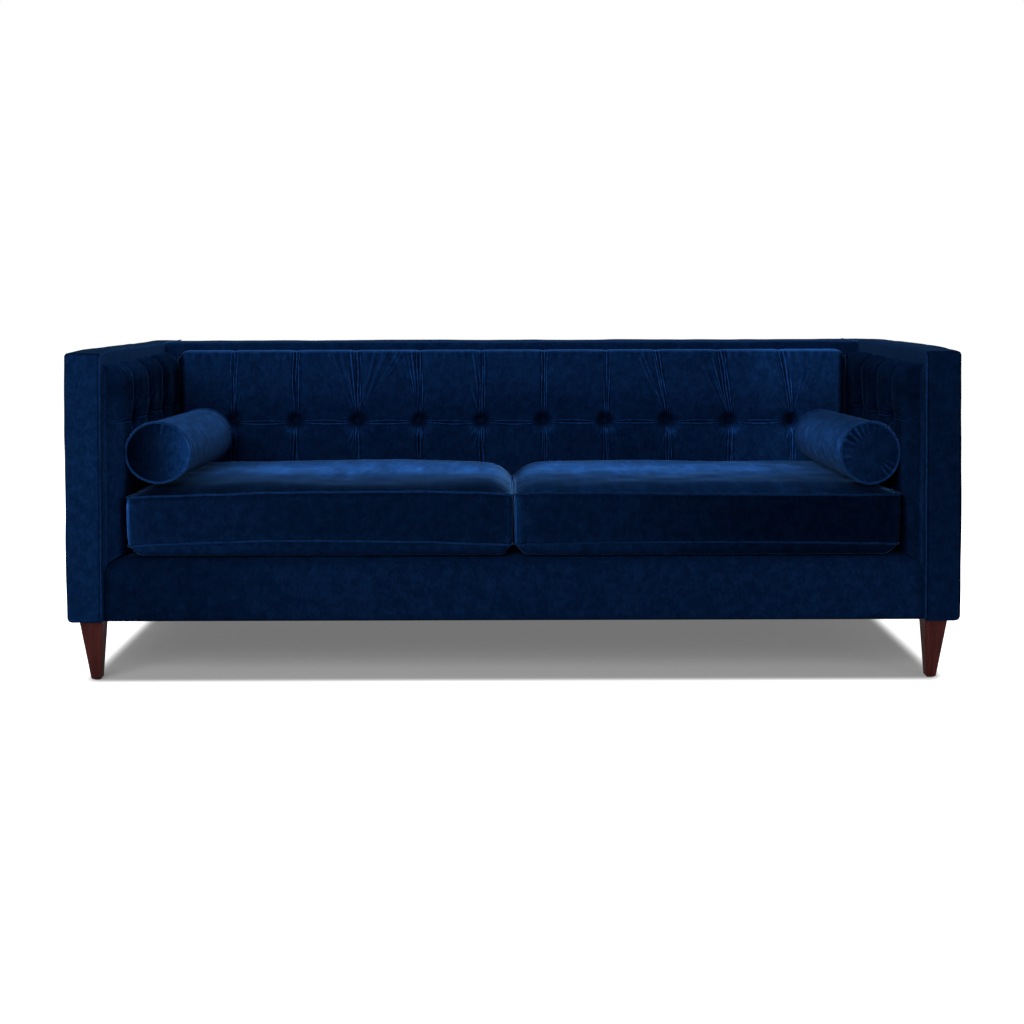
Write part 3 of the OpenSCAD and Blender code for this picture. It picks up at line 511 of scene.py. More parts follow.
class Pad:
    """Heights of a tufted pad over its wall: u runs along the wall, v is the height over the floor."""

    def __init__(self, lines, rows, crest, seam, seed, leans=None, lower=None):
        self.lines, self.rows = np.array(lines, float), np.array(rows, float)
        self.leans = np.zeros(len(lines)) if leans is None else leans
        self.crest, self.seam, self.lower, self.seed = crest, seam, lower, seed
        panels = [graded(width, *PANEL_STEPS)[:-1] for width in np.diff(self.lines)]
        panel = np.repeat(np.arange(len(panels)), [len(shares) for shares in panels])
        spans = zip(self.rows, np.diff(self.rows))
        heights = [low + rise * graded(rise, *ROW_STEPS)[:-1] for low, rise in spans]
        v = np.append(np.concatenate(heights), self.rows[-1])
        share, self.V = np.meshgrid(np.append(np.concatenate(panels), 1.0), v, indexing="ij")
        panel = np.broadcast_to(np.append(panel, len(panels) - 1)[:, None], share.shape)
        left, right = self.line_at(panel, self.V), self.line_at(panel + 1, self.V)
        self.U = left + share * (right - left)
        self.near = np.minimum(self.U - left, right - self.U)
        self.half = (right - left) / 2
        nearer_left = self.U - left <= right - self.U
        self.signed = np.where(nearer_left, self.near, -self.near)
        self.line = np.where(nearer_left, panel, panel + 1)
        self.inner_line = (self.line > 0) & (self.line < len(lines) - 1)
        self.cell = np.clip(np.searchsorted(self.rows, self.V, side="right") - 1, 0, 2)
        low, high = self.rows[self.cell], self.rows[self.cell + 1]
        self.row_near = np.minimum(self.V - low, high - self.V)
        self.row_half = (high - low) / 2

    def line_at(self, k, v):
        """Place of a vertical seam at a height; it may lean over above the buttons."""
        share = np.clip((v - self.rows[2]) / (self.rows[3] - self.rows[2]), 0, 1)
        return self.lines[k] + self.leans[k] * share ** 1.3

    def shape(self, across, down, row_keep):
        """Puffed panels; across and down say how flat they are, row_keep how little a row draws them in."""
        u = 1 - (1 - np.clip(self.near / self.half, 0, 1)) ** across
        v = 1 - (1 - np.clip(self.row_near / self.row_half, 0, 1)) ** down
        ends = (self.cell == 0) & (self.V - self.rows[0] < self.rows[1] - self.V)
        ends |= (self.cell == 2) & (self.rows[3] - self.V < self.V - self.rows[2])
        v = np.where(ends, 1, v)
        self.W = self.seam + (self.crest - self.seam) * u * (row_keep + (1 - row_keep) * v)

    def pleats(self, ridges, zone, top_spread):
        """Tucks along the vertical seams: thin ridges side by side that wander and come and go."""
        drawn = smooth(np.abs(self.V - self.rows[2]) / 34)
        spread = 1 + (top_spread - 1) * smooth((self.V - self.rows[2]) / (self.rows[3] - self.rows[2]))
        for r, (offset, height, width) in enumerate(ridges):
            wander = soft_chance(self.V, self.line * 997.0, 60, self.seed + 31 * r) * 1.3
            power = 0.65 + 0.5 * soft_chance(self.V, self.line * 613.0, 75, self.seed + 57 * r)
            at = (offset * spread + wander) * (0.25 + 0.75 * drawn)
            ridge = height * np.clip(power, 0, 1.3) * bell((self.signed - at) / width)
            self.W += np.where(self.inner_line, ridge * smooth((zone - self.near) / 6), 0)

    def row_folds(self, row, reach, height, width, depth):
        """The shallow lens between two folds that runs from button to button."""
        share = np.clip(self.near / self.half, 0, 1)
        open_by = reach * np.sqrt(share) * (0.8 + 0.2 * share)
        d = self.V - row - soft_chance(self.U, self.U * 0, 70, self.seed + 5) * 0.9
        fade = smooth(self.near / 9)
        self.W += fade * height * (bell((d - open_by) / width) + bell((d + open_by) / width))
        self.W -= fade * depth * bell(d / (0.7 * open_by + 1.0))

    def wrinkle(self, at, angle, length, width, height, start=10.0):
        """A fold that runs out from a point at an angle in degrees; one that starts late grows on its way."""
        a = math.radians(angle)
        dx, dy = self.U - at[0], self.V - at[1]
        along = dx * math.cos(a) + dy * math.sin(a)
        across = -dx * math.sin(a) + dy * math.cos(a)
        share = np.clip((along - start) / (length - start), 0, 1)
        swell = np.sqrt(np.clip(np.sin(math.pi * share), 0, 1))
        swell = swell * (0.4 + 0.6 * share if start > FOLD_START else 1 - 0.5 * share)
        self.W += height * swell * bell(across / (width * (0.55 + 0.6 * share)))

    def pits(self, places, reach):
        """The hollow that each button makes, down to a flat seat for it."""
        for x, y in places:
            r = np.hypot(self.U - x, self.V - y)
            keep = 1 - np.exp(-(np.maximum(r - BUTTON_R + PIT_LAP, 0) / reach) ** 1.5)
            self.W = PIT_W + (self.W - PIT_W) * keep

    def wander(self, size, height, seed):
        self.W += height * soft_chance(self.U, self.V, size, self.seed + seed)

    def edges(self, top, side, bottom, dip, dip_width, puckers, square=2.0, corner=0.0):
        """Rolls the four edges down to the wall; dip lowers the top edge at the seams, corner at its ends."""
        near_line = np.clip(1 - self.near / dip_width, 0, 1)
        line_dip = np.where(self.inner_line, dip, 0) * (1 - np.sqrt(1 - near_line ** 2))
        from_ends = (self.U - self.lines[0], self.lines[-1] - self.U)
        near_end = np.clip(1 - (np.minimum(*from_ends) - END_LAP) / 24, 0, 1)
        line_dip = line_dip + corner * (1 - np.sqrt(1 - near_end ** 2))
        limit = self.rows[3] - line_dip
        reach = max(60, 2.2 * dip)
        self.V = self.V - line_dip * np.clip((self.V - self.rows[3] + reach) / reach, 0, 1)
        over = np.clip((limit - self.V) / top, 0, 1) ** (square / 1.5)
        self.V = np.where(over < 1, limit - top * over, self.V)
        keep = (1 - (1 - over) ** square) ** (1 / square)
        lows = [(self.V - self.rows[0]) / bottom, *[distance / r for distance, r in zip(from_ends, side)]]
        for share in lows:
            keep = keep * np.sqrt(1 - np.square(1 - np.clip(share, 0, 1)))
        ripple = puckers * soft_chance(self.U, self.U * 0, 9, self.seed + 71)
        self.W += ripple * bell((self.rows[3] - self.V - 14) / 13) * smooth((self.rows[3] - self.V) / 6)
        self.W = EDGE_W + (self.W - EDGE_W) * keep

    def grid(self):
        """The pad's points as (u, v, w), its lower edge brought down where the deck's front is lower."""
        V = self.V
        if self.lower is not None:
            bottom = self.lower(self.U[:, :1])
            share = np.clip((V - self.rows[0]) / (self.rows[1] - self.rows[0]), 0, 1)
            V = np.where(V < self.rows[1], bottom + share * (self.rows[1] - bottom), V)
        return np.stack([self.U, V, self.W], -1)


def pad_mesh(name, pad, to_room):
    """Closed mesh of a pad: its puffed face and a flat rear on the wall."""
    grid = pad.grid()
    n, m = grid.shape[:2]
    rim = np.concatenate([np.arange(m), np.arange(1, n) * m + m - 1,
                          (n - 1) * m + np.arange(m - 2, -1, -1), np.arange(n - 2, 0, -1) * m])
    flat = grid.reshape(-1, 3)[rim].copy()
    flat[:, 2] = 0.4
    points = to_room(np.concatenate([grid.reshape(-1, 3), flat]))
    k = len(rim)
    rear = n * m + np.arange(k)
    skirt = np.stack([rim, rear, np.roll(rear, -1), np.roll(rim, -1)], -1)
    rows = [*grid_faces(n, m).tolist(), *skirt.tolist(), rear.tolist()]
    a, b, c = points[rows[0][:3]]
    outwards = to_room(np.array([[0, 0, 1.0]])) - to_room(np.array([[0, 0, 0.0]]))
    if float(np.cross(b - a, c - a) @ outwards[0]) < 0:
        rows = [row[::-1] for row in rows]
    return make_piece(name, points, rows)


def button_points():
    """A covered button that faces +w: a low dome with gathers round its rim."""
    rim = BUTTON_T * 0.45
    share, turn = np.meshgrid(np.arange(1, BUTTON_STEPS + 1) / BUTTON_STEPS,
                              2 * math.pi * np.arange(BUTTON_TURNS) / BUTTON_TURNS, indexing="ij")
    gather = 0.22 * np.sin(9 * turn + 1.1) * share ** 2
    lean = math.pi / 2 * share
    r = (BUTTON_R - 0.3 + gather) * np.sin(lean)
    w = rim + (BUTTON_T - rim) * np.cos(lean) + 0.5 * gather
    r, w = np.vstack([r, 0 * r[:1] + BUTTON_R - 0.6]), np.vstack([w, 0 * w[:1]])
    turn = np.vstack([turn, turn[:1]])
    dome = np.stack([r * np.cos(turn), r * np.sin(turn), w], -1).reshape(-1, 3)
    ring = [1 + j for j in range(BUTTON_TURNS)]
    faces = [[0, j, j % BUTTON_TURNS + 1] for j in ring]
    faces += (grid_faces(BUTTON_STEPS + 1, BUTTON_TURNS, ring=True) + 1).tolist()
    faces.append([BUTTON_STEPS * BUTTON_TURNS + j for j in ring[::-1]])
    return np.concatenate([[[0, 0, BUTTON_T]], dome]), faces


def buttons(name, places, to_rooms, node):
    """All the buttons of one wall or pair of walls as one piece."""
    points, faces = button_points()
    parts = []
    for to_room, flip in to_rooms:
        rows = [row[::-1] for row in faces] if flip else faces
        parts += [(to_room(points + [u, v, BUTTON_RISE]), rows) for u, v in places]
    piece = make_piece(name, *joined(parts))
    finish_piece(piece, "sofa", VELVET["button"], [node])


# Back pad

BACK_LOW, BACK_HIGH = node_box("back_pad")
ARM_LOW, ARM_HIGH = node_box("arm_pad_right")
BACK_WALL = BACK_HIGH[1]
ARM_WALL = ARM_HIGH[0]
PAD_TOP = BACK_HIGH[2]
PAD_LOW = BACK_LOW[2]
BACK_ROW, BACK_LOW_ROW = 564.0, 369.0
ARM_ROW, ARM_LOW_ROW = 622.0, 427.0
BACK_BUTTONS = 10
END_PANEL_SHARE = 0.84
BACK_END = BACK_HIGH[0]
END_LAP, TOP_RISE = 14.0, 5.5
PITCH = 2 * BACK_END / (BACK_BUTTONS - 1 + 2 * END_PANEL_SHARE)
BACK_COLUMNS = [(k - (BACK_BUTTONS - 1) / 2) * PITCH for k in range(BACK_BUTTONS)]
BACK_CREST = BACK_WALL - BACK_LOW[1]
ARM_CREST = ARM_WALL - ARM_LOW[0]


# Single folds over a button: angle in degrees, length, height and where they start. One that starts beyond
# FOLD_START grows on its way, and the others are highest near the button.
BACK_FOLDS = {
    0: ((80, 120, 1.0, 14),),
    2: ((56, 262, 2.4, 95), (61, 250, 2.8, 80), (66, 245, 3.0, 50), (70, 240, 3.2, 40), (75, 232, 3.0, 30),
        (80, 150, 1.6, 14), (96, 238, 3.0, 40), (103, 240, 2.8, 60), (100, 170, 2.2, 14), (110, 246, 2.2, 95),
        (114, 250, 1.8, 110)),
    3: ((94, 238, 2.0, 50), (99, 236, 2.4, 60), (104, 240, 2.2, 80), (110, 244, 1.8, 100)),
    4: ((97, 238, 1.8, 60), (104, 150, 1.4, 14)),
    7: ((99, 190, 2.6, 14), (104, 205, 3.0, 14), (109, 215, 3.2, 20), (115, 205, 2.8, 25)),
    8: ((99, 180, 2.4, 14), (104, 195, 2.8, 14), (109, 200, 2.4, 20), (116, 190, 1.6, 40)),
    9: ((101, 150, 1.4, 14), (78, 160, 1.6, 30), (72, 170, 1.4, 40), (66, 170, 1.0, 50)),
}


def back_room(p):
    return np.stack([p[:, 0], BACK_WALL - p[:, 2], p[:, 1]], -1)


def make_back():
    lines = [-BACK_END - END_LAP, *BACK_COLUMNS, BACK_END + END_LAP]
    leans = np.array([-5, 3, 2, -3, 0, 0, 0, 0, -30, -31, -32, 9.0])
    rows = [PAD_LOW, BACK_LOW_ROW, BACK_ROW, PAD_TOP + TOP_RISE]
    pad = Pad(lines, rows, crest=BACK_CREST - 1.0, seam=36.0, seed=11, leans=leans)
    pad.shape(across=5.0, down=3.2, row_keep=0.7)
    pad.wander(size=120, height=1.1, seed=3)
    pad.wander(size=38, height=0.35, seed=4)
    pad.pleats([(-3.6, 4.8, 1.5), (2.8, 5.6, 1.9), (9.0, 3.4, 1.4)], zone=19, top_spread=1.35)
    pad.row_folds(BACK_ROW, reach=5.5, height=1.4, width=1.4, depth=0.5)
    rng = np.random.default_rng(5)
    places = [(c, BACK_ROW) for c in BACK_COLUMNS]
    for k, at in enumerate(places):
        for count, middle, spread, lengths, widths, heights in (
            (2, 90, 20, (50, 110), (2.2, 3.2), (0.3, 0.9)), (4, 262, 28, (40, 95), (2.4, 3.4), (0.4, 1.4)),
        ):
            for _ in range(count):
                angle = rng.normal(middle, spread)
                pad.wrinkle(at, angle, rng.uniform(*lengths), rng.uniform(*widths), rng.uniform(*heights))
        for angle, length, height, start in BACK_FOLDS.get(k, ()):
            pad.wrinkle(at, angle + rng.normal(0, 1), length, rng.uniform(2.3, 3.2), height, start)
    pad.pits(places, reach=13)
    pad.edges(top=9, side=(38, 38), bottom=18, dip=3.0, dip_width=30, puckers=0.4, square=3.6, corner=18.0)
    piece = pad_mesh("back_tufting", pad, back_room)

    # Pile tone, mostly painted light: lighter above the row of buttons and towards the right, painted shade
    # along the top edge and at both ends.
    def lean(p, n):
        x, over = p[:, 0], p[:, 2] - BACK_ROW
        tone = 0.22 * smooth(over / 150) - 0.06 * smooth((over + 20) / 60) + 0.33 * smooth((x - 560) / 200)
        middle, right = bell(x / 90), bell((x - 520) / 90)
        low_tone = 0.15 * smooth((x - 520) / 120) - 0.06 * smooth((500 - x) / 200)
        low_tone += 0.1 * middle + 0.09 * right
        tone += smooth(-over / 30) * low_tone + bell((over - 60) / 50) * (0.1 * right - 0.08 * middle)
        # A painted shadow above and beside each button and a painted highlight below it.
        for column in BACK_COLUMNS:
            across = (x - column) * (1 if column < 0 else -1)
            tone -= 0.28 * bell((across - 8) / 23) * bell((over - 19) / 17)
            tone += 0.34 * bell((across + 8) / 17) * bell((over + 24) / 12)
        tone -= 0.35 * smooth((p[:, 2] - PAD_TOP - TOP_RISE + 13) / 7) * np.clip(-n[:, 1], 0, 1)
        return tone - 0.8 * smooth((np.abs(x) - BACK_END + 18) / 14)

    paint_light_and_pile(piece, fold=12, lean=lean, opened=0.74, closed=0.4)
    finish_piece(piece, "sofa", VELVET["tufted_back"], ["back_pad"])
    buttons("back_button_row", places, [(back_room, False)], "back_buttons")


# Arm pads

ARM_SEAMS = 3
ARM_FRONT_SHARE = 0.9
ROLL_LOW, ROLL_HIGH = node_box("apron_cover")
APRON_Y = ROLL_LOW[1]
DECK_Z = ROLL_HIGH[2]
ROLL_R = 40.0
ROLL_Y = APRON_Y + ROLL_R
ROLL_Z = DECK_Z - ROLL_R
SEAT_GAP = 0.3
CUSHION_X1 = 928.0


def arm_lower(u):
    """Lower edge of an arm pad: the deck, and in front of it the round front edge."""
    r = ROLL_R + 2 * SEAT_GAP
    rise = np.sqrt(np.maximum(r * r - np.square(np.minimum(u - ROLL_Y, 0)), 0))
    return np.where(u >= ROLL_Y, PAD_LOW, ROLL_Z + np.minimum(rise, r))


def arm_room(side):
    def to_room(p):
        return np.stack([side * (ARM_WALL - p[:, 2]), p[:, 0], p[:, 1]], -1)
    return to_room


def make_arm(word):
    near, far = ARM_LOW[1], ARM_HIGH[1]
    pitch = (BACK_WALL - BACK_CREST - near) / (ARM_SEAMS + ARM_FRONT_SHARE)
    lines = [near, *[near + (ARM_FRONT_SHARE + i) * pitch for i in range(ARM_SEAMS)], far]
    seed = 41 if word == "left" else 67
    rows = [PAD_LOW, ARM_LOW_ROW, ARM_ROW, PAD_TOP]
    pad = Pad(lines, rows, crest=ARM_CREST - 1.0, seam=15.0, seed=seed, lower=arm_lower)
    pad.shape(across=6.5, down=3.0, row_keep=0.9)
    pad.wander(size=90, height=1.0, seed=3)
    pad.wander(size=30, height=0.3, seed=4)
    pad.pleats([(-3.6, 2.2, 1.6), (3.4, 2.4, 1.6)], zone=12, top_spread=1.2)
    pad.row_folds(ARM_ROW, reach=4, height=1.6, width=1.7, depth=2.4)
    pad.row_folds(ARM_LOW_ROW, reach=3, height=1.4, width=1.7, depth=1.6)
    rng = np.random.default_rng(seed)
    places = [(c, ARM_ROW) for c in lines[1:-1]]
    for at in places:
        for middle in (90, 268) * 7:
            angle = rng.normal(middle, 30)
            pad.wrinkle(at, angle, rng.uniform(34, 75), rng.uniform(2.2, 3.6), rng.uniform(0.7, 1.7))
    pad.pits(places, reach=12)
    pad.edges(top=46, side=(34, 10), bottom=14, dip=36, dip_width=38, puckers=0.5)
    piece = pad_mesh(f"arm_tufting_{word}", pad, arm_room(SIDES[word]))
    rear_shade, top_tone, low_tone = (-0.3, -0.17, 0.0) if word == "left" else (-0.2, -0.12, 0.07)

    # Pile tone: painted shade towards the rear, darker above the row and lighter below it, and a painted
    # shadow in the gap beside the cushion.
    def lean(p, n):
        tone = rear_shade * smooth((p[:, 1] + 280) / 330) + top_tone * smooth((p[:, 2] - ARM_ROW) / 70)
        tone += low_tone * smooth((ARM_ROW - p[:, 2]) / 90)
        gap_shadow = smooth((ARM_WALL - np.abs(p[:, 0]) - 32) / 12) * smooth((DECK_Z + 150 - p[:, 2]) / 25)
        return tone - 0.6 * gap_shadow

    paint_light_and_pile(piece, fold=18, lean=lean)
    finish_piece(piece, "sofa", VELVET[f"tufted_{word}"], [f"arm_pad_{word}"])
    return places


make_back()
arm_places = make_arm("left")
make_arm("right")
buttons("arm_button_rows", arm_places, [(arm_room(-1), False), (arm_room(1), True)], "arm_buttons")


# Shells of the arms and the back

EDGE_R, SEAM_R = 9.0, 2.2
FRONT_WELT, CORNER_WELT = 1.7, 1.5
PANEL_LOW, PANEL_HIGH = node_box("arm_front_panel_right")
SKIN_Z, SOFA_H = PANEL_LOW[2], PANEL_HIGH[2]
HALF_W, FRONT_Y, REAR_Y = PANEL_HIGH[0], PANEL_LOW[1], node_box("back_cover")[1][1]
REAR_LAP = 2.5
DECK_SEAM_Y = ROLL_Y + 110
# Swells by the share of the arm's depth, and by the height in front
ARM_TOP_SWELL = {
    "left": ((0, 4), (0.14, 8), (0.34, 6), (0.57, 2.6), (0.8, 0.6), (1, 0)),
    "right": ((0, 3.5), (0.06, 6), (0.13, 9), (0.21, 10), (0.41, 7.8), (0.57, 7), (0.75, 6.4), (0.93, 1.4),
              (1, 0)),
}
ARM_SIDE_SWELL = {
    "left": ((144, 3), (250, 5.2), (340, 5), (440, 3.8), (530, 4.8), (600, 7.4), (680, 7.6), (787, 5.5)),
    "right": ((144, 3.2), (250, 4), (340, 5.2), (440, 5.7), (560, 5), (650, 3.2), (787, 2.6)),
}
# Painted shade on the tops of the arms, and along their outer edges
ARM_TOP_SHADE = {"left": -0.66, "right": -0.24}
ARM_RIM_SHADE = {"left": 0.12, "right": 0.4}


def soft_block(low, high, edges, waves, zone, step, seed):
    """A block with rounded edges, and how far its skin lifts; edges maps a pair of axes to its four radii."""
    low, high = np.array(low, float), np.array(high, float)
    ticks = [span_ticks(low[k], high[k], zone, 1.6, step) for k in range(3)]
    points, faces = box_shell(*ticks)
    for (a, b), radii in edges.items():
        round_edges(points, a, b, low, high, radii)
    normals = vertex_normals(points, faces)
    lift = np.zeros(len(points))
    for size, height in waves:
        for a, b in ((0, 2), (1, 2), (0, 1)):
            chance = soft_chance(points[:, a], points[:, b], size, seed + int(size) + 7 * a + b)
            lift += height * np.abs(normals[:, 3 - a - b]) * chance
    return points, faces, normals, lift


def mirrored_piece(name, points, faces, side):
    """A piece that was shaped for the right side, turned over for the left one."""
    return make_piece(name, points * [side, 1, 1], faces if side > 0 else faces[:, ::-1])


def make_arm_shell(word):
    """Outer side, top and padded front of an arm as one fitted cover, open nowhere."""
    low = np.array([ARM_WALL - 0.6, FRONT_Y + 1.2, SKIN_Z])
    high = np.array([HALF_W - 1.2, REAR_Y - REAR_LAP, SOFA_H - 0.8])
    edges = {(0, 2): (SEAM_R, 14.0, 5.0, EDGE_R), (1, 2): (EDGE_R, SEAM_R, EDGE_R, 5.0),
             (0, 1): (SEAM_R, EDGE_R, SEAM_R, 5.0)}
    seed = 101 if word == "left" else 131
    waves = [(150, 0.7), (48, 0.22)]
    points, faces, normals, lift = soft_block(low, high, edges, waves, zone=12, step=7.0, seed=seed)
    x, _, z = ((points - low) / (high - low)).T
    front, top = np.clip(-normals[:, 1], 0, 1) ** 4, np.clip(normals[:, 2], 0, 1) ** 4
    lift += front * 1.6 * (1 - np.abs(2 * x - 1) ** 3) * (1 - np.abs(2 * z - 1) ** 12)
    lift += top * 0.8 * (1 - np.abs(2 * x - 1) ** 2)
    lift = np.where(normals[:, 0] < -0.5, 0, np.clip(lift, -1.5, 1.6))
    points = points + normals * lift[:, None]
    full = through((points[:, 1] - low[1]) / (high[1] - low[1]), ARM_TOP_SWELL[word])
    near_front = smooth((FRONT_Y + 170 - points[:, 1]) / 150)
    points[:, 0] += through(points[:, 2], ARM_SIDE_SWELL[word]) * smooth(2 * x - 1) * near_front
    points[:, 2] += full * smooth((points[:, 2] - SOFA_H + 24) / 24)
    piece = mirrored_piece(f"arm_cover_skin_{word}", points, faces, SIDES[word])

    # Pile tone: painted shade on the top, a painted shadow line beside the front piping, lighter low and
    # darker high on the right front, and painted shade along the outer edge.
    def lean(p, n):
        x, front = np.abs(p[:, 0]), np.clip(-n[:, 1], 0, 1)
        tone = ARM_TOP_SHADE[word] * np.clip(n[:, 2], 0, 1) ** 2
        tone -= 0.45 * front * bell((x - ARM_WALL - 2.6) / 2.6)
        tone += front * smooth(p[:, 0]) * (0.07 - 0.13 * smooth((p[:, 2] - 200) / 300))
        return tone - ARM_RIM_SHADE[word] * smooth((x - HALF_W + 7) / 7) * smooth(1 - n[:, 2])

    paint_light_and_pile(piece, fold=8, lean=lean, opened=0.25)
    nodes = [f"arm_cover_{word}", f"arm_front_panel_{word}"]
    finish_piece(piece, "sofa", VELVET[f"arm_{word}"], nodes)


def make_front_welts():
    """Piping down the inner edge of each arm front, and over the corner where each arm meets the back."""
    parts = []
    for side in (-1, 1):
        z = np.linspace(SKIN_Z + 4, SOFA_H - 6, 160)
        sway = 0.35 * np.sin(z / 37.0) + 0.2 * np.sin(z / 11.0 + side)
        path = np.stack([side * (ARM_WALL + 0.2 + sway), np.full_like(z, FRONT_Y + 1.5), z], -1)
        parts.append(tube(path, FRONT_WELT, closed=False))
        corner = [(ARM_WALL - 0.6, BACK_WALL - 0.6, z) for z in np.linspace(PAD_TOP - 6, SOFA_H - 3, 12)]
        corner += [(ARM_WALL, y, SOFA_H + 0.2) for y in np.linspace(BACK_WALL + 4, REAR_Y - 5, 30)]
        parts.append(tube([(side * x, y, z) for x, y, z in corner], CORNER_WELT, closed=False))
    piece = make_piece("arm_front_piping", *joined(parts))
    paint_light_and_pile(piece, fold=3, lean=lambda p, n: np.where(p[:, 0] > 0, -0.1, -0.15))
    finish_piece(piece, "sofa", VELVET_PIPING, ["arm_front_welts"])


def make_back_shell():
    """Top, plain border and inner rear of the back, and the outer back panel that is sewn on behind."""
    low = (-ARM_WALL + 0.4, BACK_WALL - 0.6, SKIN_Z)
    high = (ARM_WALL - 0.4, REAR_Y - REAR_LAP, SOFA_H - 0.8)
    edges = {(0, 2): (0.8, 0.8, 0.8, 0.8), (1, 2): (3.0, SEAM_R, 4.5, 5.0), (0, 1): (0.8, 0.8, 0.8, 0.8)}
    waves = [(170, 0.7), (50, 0.2)]
    points, faces, normals, lift = soft_block(low, high, edges, waves, zone=9, step=9.0, seed=151)
    y = (points[:, 1] - low[1]) / (high[1] - low[1])
    lift += 0.9 * np.clip(normals[:, 2], 0, 1) ** 4 * (1 - np.abs(2 * y - 1) ** 2)
    shell = (points + normals * np.clip(lift, -1.2, 1.2)[:, None], faces)
    low = (-HALF_W + 7, REAR_Y - REAR_LAP - 3, SKIN_Z + 6)
    high = (HALF_W - 7, REAR_Y - 0.6, SOFA_H - 8)
    edges = {(0, 1): (0, 0, 2.2, 2.2), (1, 2): (0, 2.2, 0, 2.2), (0, 2): (9, 9, 9, 9)}
    waves = [(220, 0.8), (60, 0.25)]
    points, faces, normals, lift = soft_block(low, high, edges, waves, zone=12, step=10.0, seed=163)
    points = points + normals * (np.clip(normals[:, 1], 0, 1) * np.clip(lift, -0.9, 0.5))[:, None]
    piece = make_piece("back_cover_skin", *joined([shell, (points, faces)]))

    # Pile tone: slightly lighter on faces to the front, painted shade on the top.
    def lean(p, n):
        return 0.06 * np.clip(-n[:, 1], 0, 1) - 0.28 * np.clip(n[:, 2], 0, 1) ** 2

    paint_light_and_pile(piece, fold=8, lean=lean, opened=0.1)
    finish_piece(piece, "sofa", VELVET["back"], ["back_cover"])


def make_deck():
    """Covered platform under the cushions, with a sewn line where the front cloth ends."""
    xs = span_ticks(-ARM_WALL + 0.3, ARM_WALL - 0.3, 80, 6, 12)
    ys = span_ticks(ROLL_Y - 1, BACK_WALL - 0.3, 60, 5, 12)
    X, Y = np.meshgrid(xs, ys, indexing="ij")
    Z = DECK_Z - 0.2 - 0.3 * np.abs(soft_chance(X, Y, 130, 19)) - 0.9 * bell((Y - DECK_SEAM_Y) / 4)
    Z = np.maximum(Z, node_box("deck_pad")[1][2] + 0.4)
    piece = make_piece("deck_skin", np.stack([X, Y, Z], -1).reshape(-1, 3), grid_faces(*X.shape))
    paint_light_and_pile(piece)
    finish_piece(piece, "sofa", VELVET["deck"], ["deck_cloth"])


def make_apron():
    """Front of the seat frame and its soft rolled edge, with the cloth turned under at the hem."""
    hem = ((20, 1.5), (12, 1.0), (6, 0.6), (3, 0.8), (1.6, 2.0), (0.8, 4.5))
    profile = [(APRON_Y + y, SKIN_Z + z) for y, z in hem]
    profile += [(APRON_Y + 0.6, z) for z in np.arange(SKIN_Z + 8, ROLL_Z - 2, 5.0)]
    turn, r = np.radians(np.arange(0, 91, 5)), ROLL_R - 0.5
    profile += zip(ROLL_Y - r * np.cos(turn), ROLL_Z + r * np.sin(turn))
    profile += [(ROLL_Y + step, DECK_Z - 0.5) for step in (4, 9, 14)]
    y, z = np.transpose(profile)
    X, Y = np.meshgrid(span_ticks(-ARM_WALL + 0.2, ARM_WALL - 0.2, 84, 4, 7), y, indexing="ij")
    Z = np.broadcast_to(z, X.shape)
    rise = (Z - SKIN_Z) / (ROLL_Z - SKIN_Z)
    face = smooth(rise / 0.12) * smooth((1.35 - rise) / 0.5)
    Y = Y - face * (1.0 + 0.6 * soft_chance(X, Z, 120, 7) + 0.2 * soft_chance(X, Z, 34, 8))
    piece = make_piece("apron_skin", np.stack([X, Y, Z], -1).reshape(-1, 3), grid_faces(*X.shape)[:, ::-1])

    # Pile tone: lighter towards the right and darker at the far left, and a painted shadow on the top of the
    # roll under the cushions and beside them.
    def lean(p, n):
        x, top = p[:, 0], smooth((n[:, 2] - 0.7) / 0.2)
        beside = smooth((np.abs(x) - CUSHION_X1 + 6) / 12)
        along = 0.06 * smooth((x - 400) / 400) - 0.2 * smooth((-x - 450) / 400)
        cushion_shadow = 0.3 - 0.1 * smooth((-x - 100) / 200)
        return along - cushion_shadow * top * (1 - beside) - 0.15 * top * beside

    paint_light_and_pile(piece, fold=6, lean=lean)
    finish_piece(piece, "sofa", VELVET["apron"], ["apron_cover"])


for word in SIDES:
    make_arm_shell(word)
make_front_welts()
make_back_shell()
make_apron()
make_deck()


# Seat cushions

MIDDLE_X0 = 0.75
CUSHION_Y0, CUSHION_Y1 = APRON_Y - 4, BACK_WALL - BACK_CREST - 1
CUSHION_Z = DECK_Z + SEAT_GAP
UNDER_H, SIDE_H, CROWN_H = 34.0, 150.0, 19.6
CUSHION_R, CUSHION_FLARE, CUSHION_WELT = 17.0, 9.0, 2.5
SEAM_GROOVE, BORDER_INSET = 4.4, 1.6
END_DROOP, BORDER_SWELL = 36.0, 4.0
CUSHION_HALF = np.array([(CUSHION_X1 - MIDDLE_X0) / 2, (CUSHION_Y1 - CUSHION_Y0) / 2])
CUSHION_AT = np.array([(CUSHION_X1 + MIDDLE_X0) / 2, (CUSHION_Y0 + CUSHION_Y1) / 2])


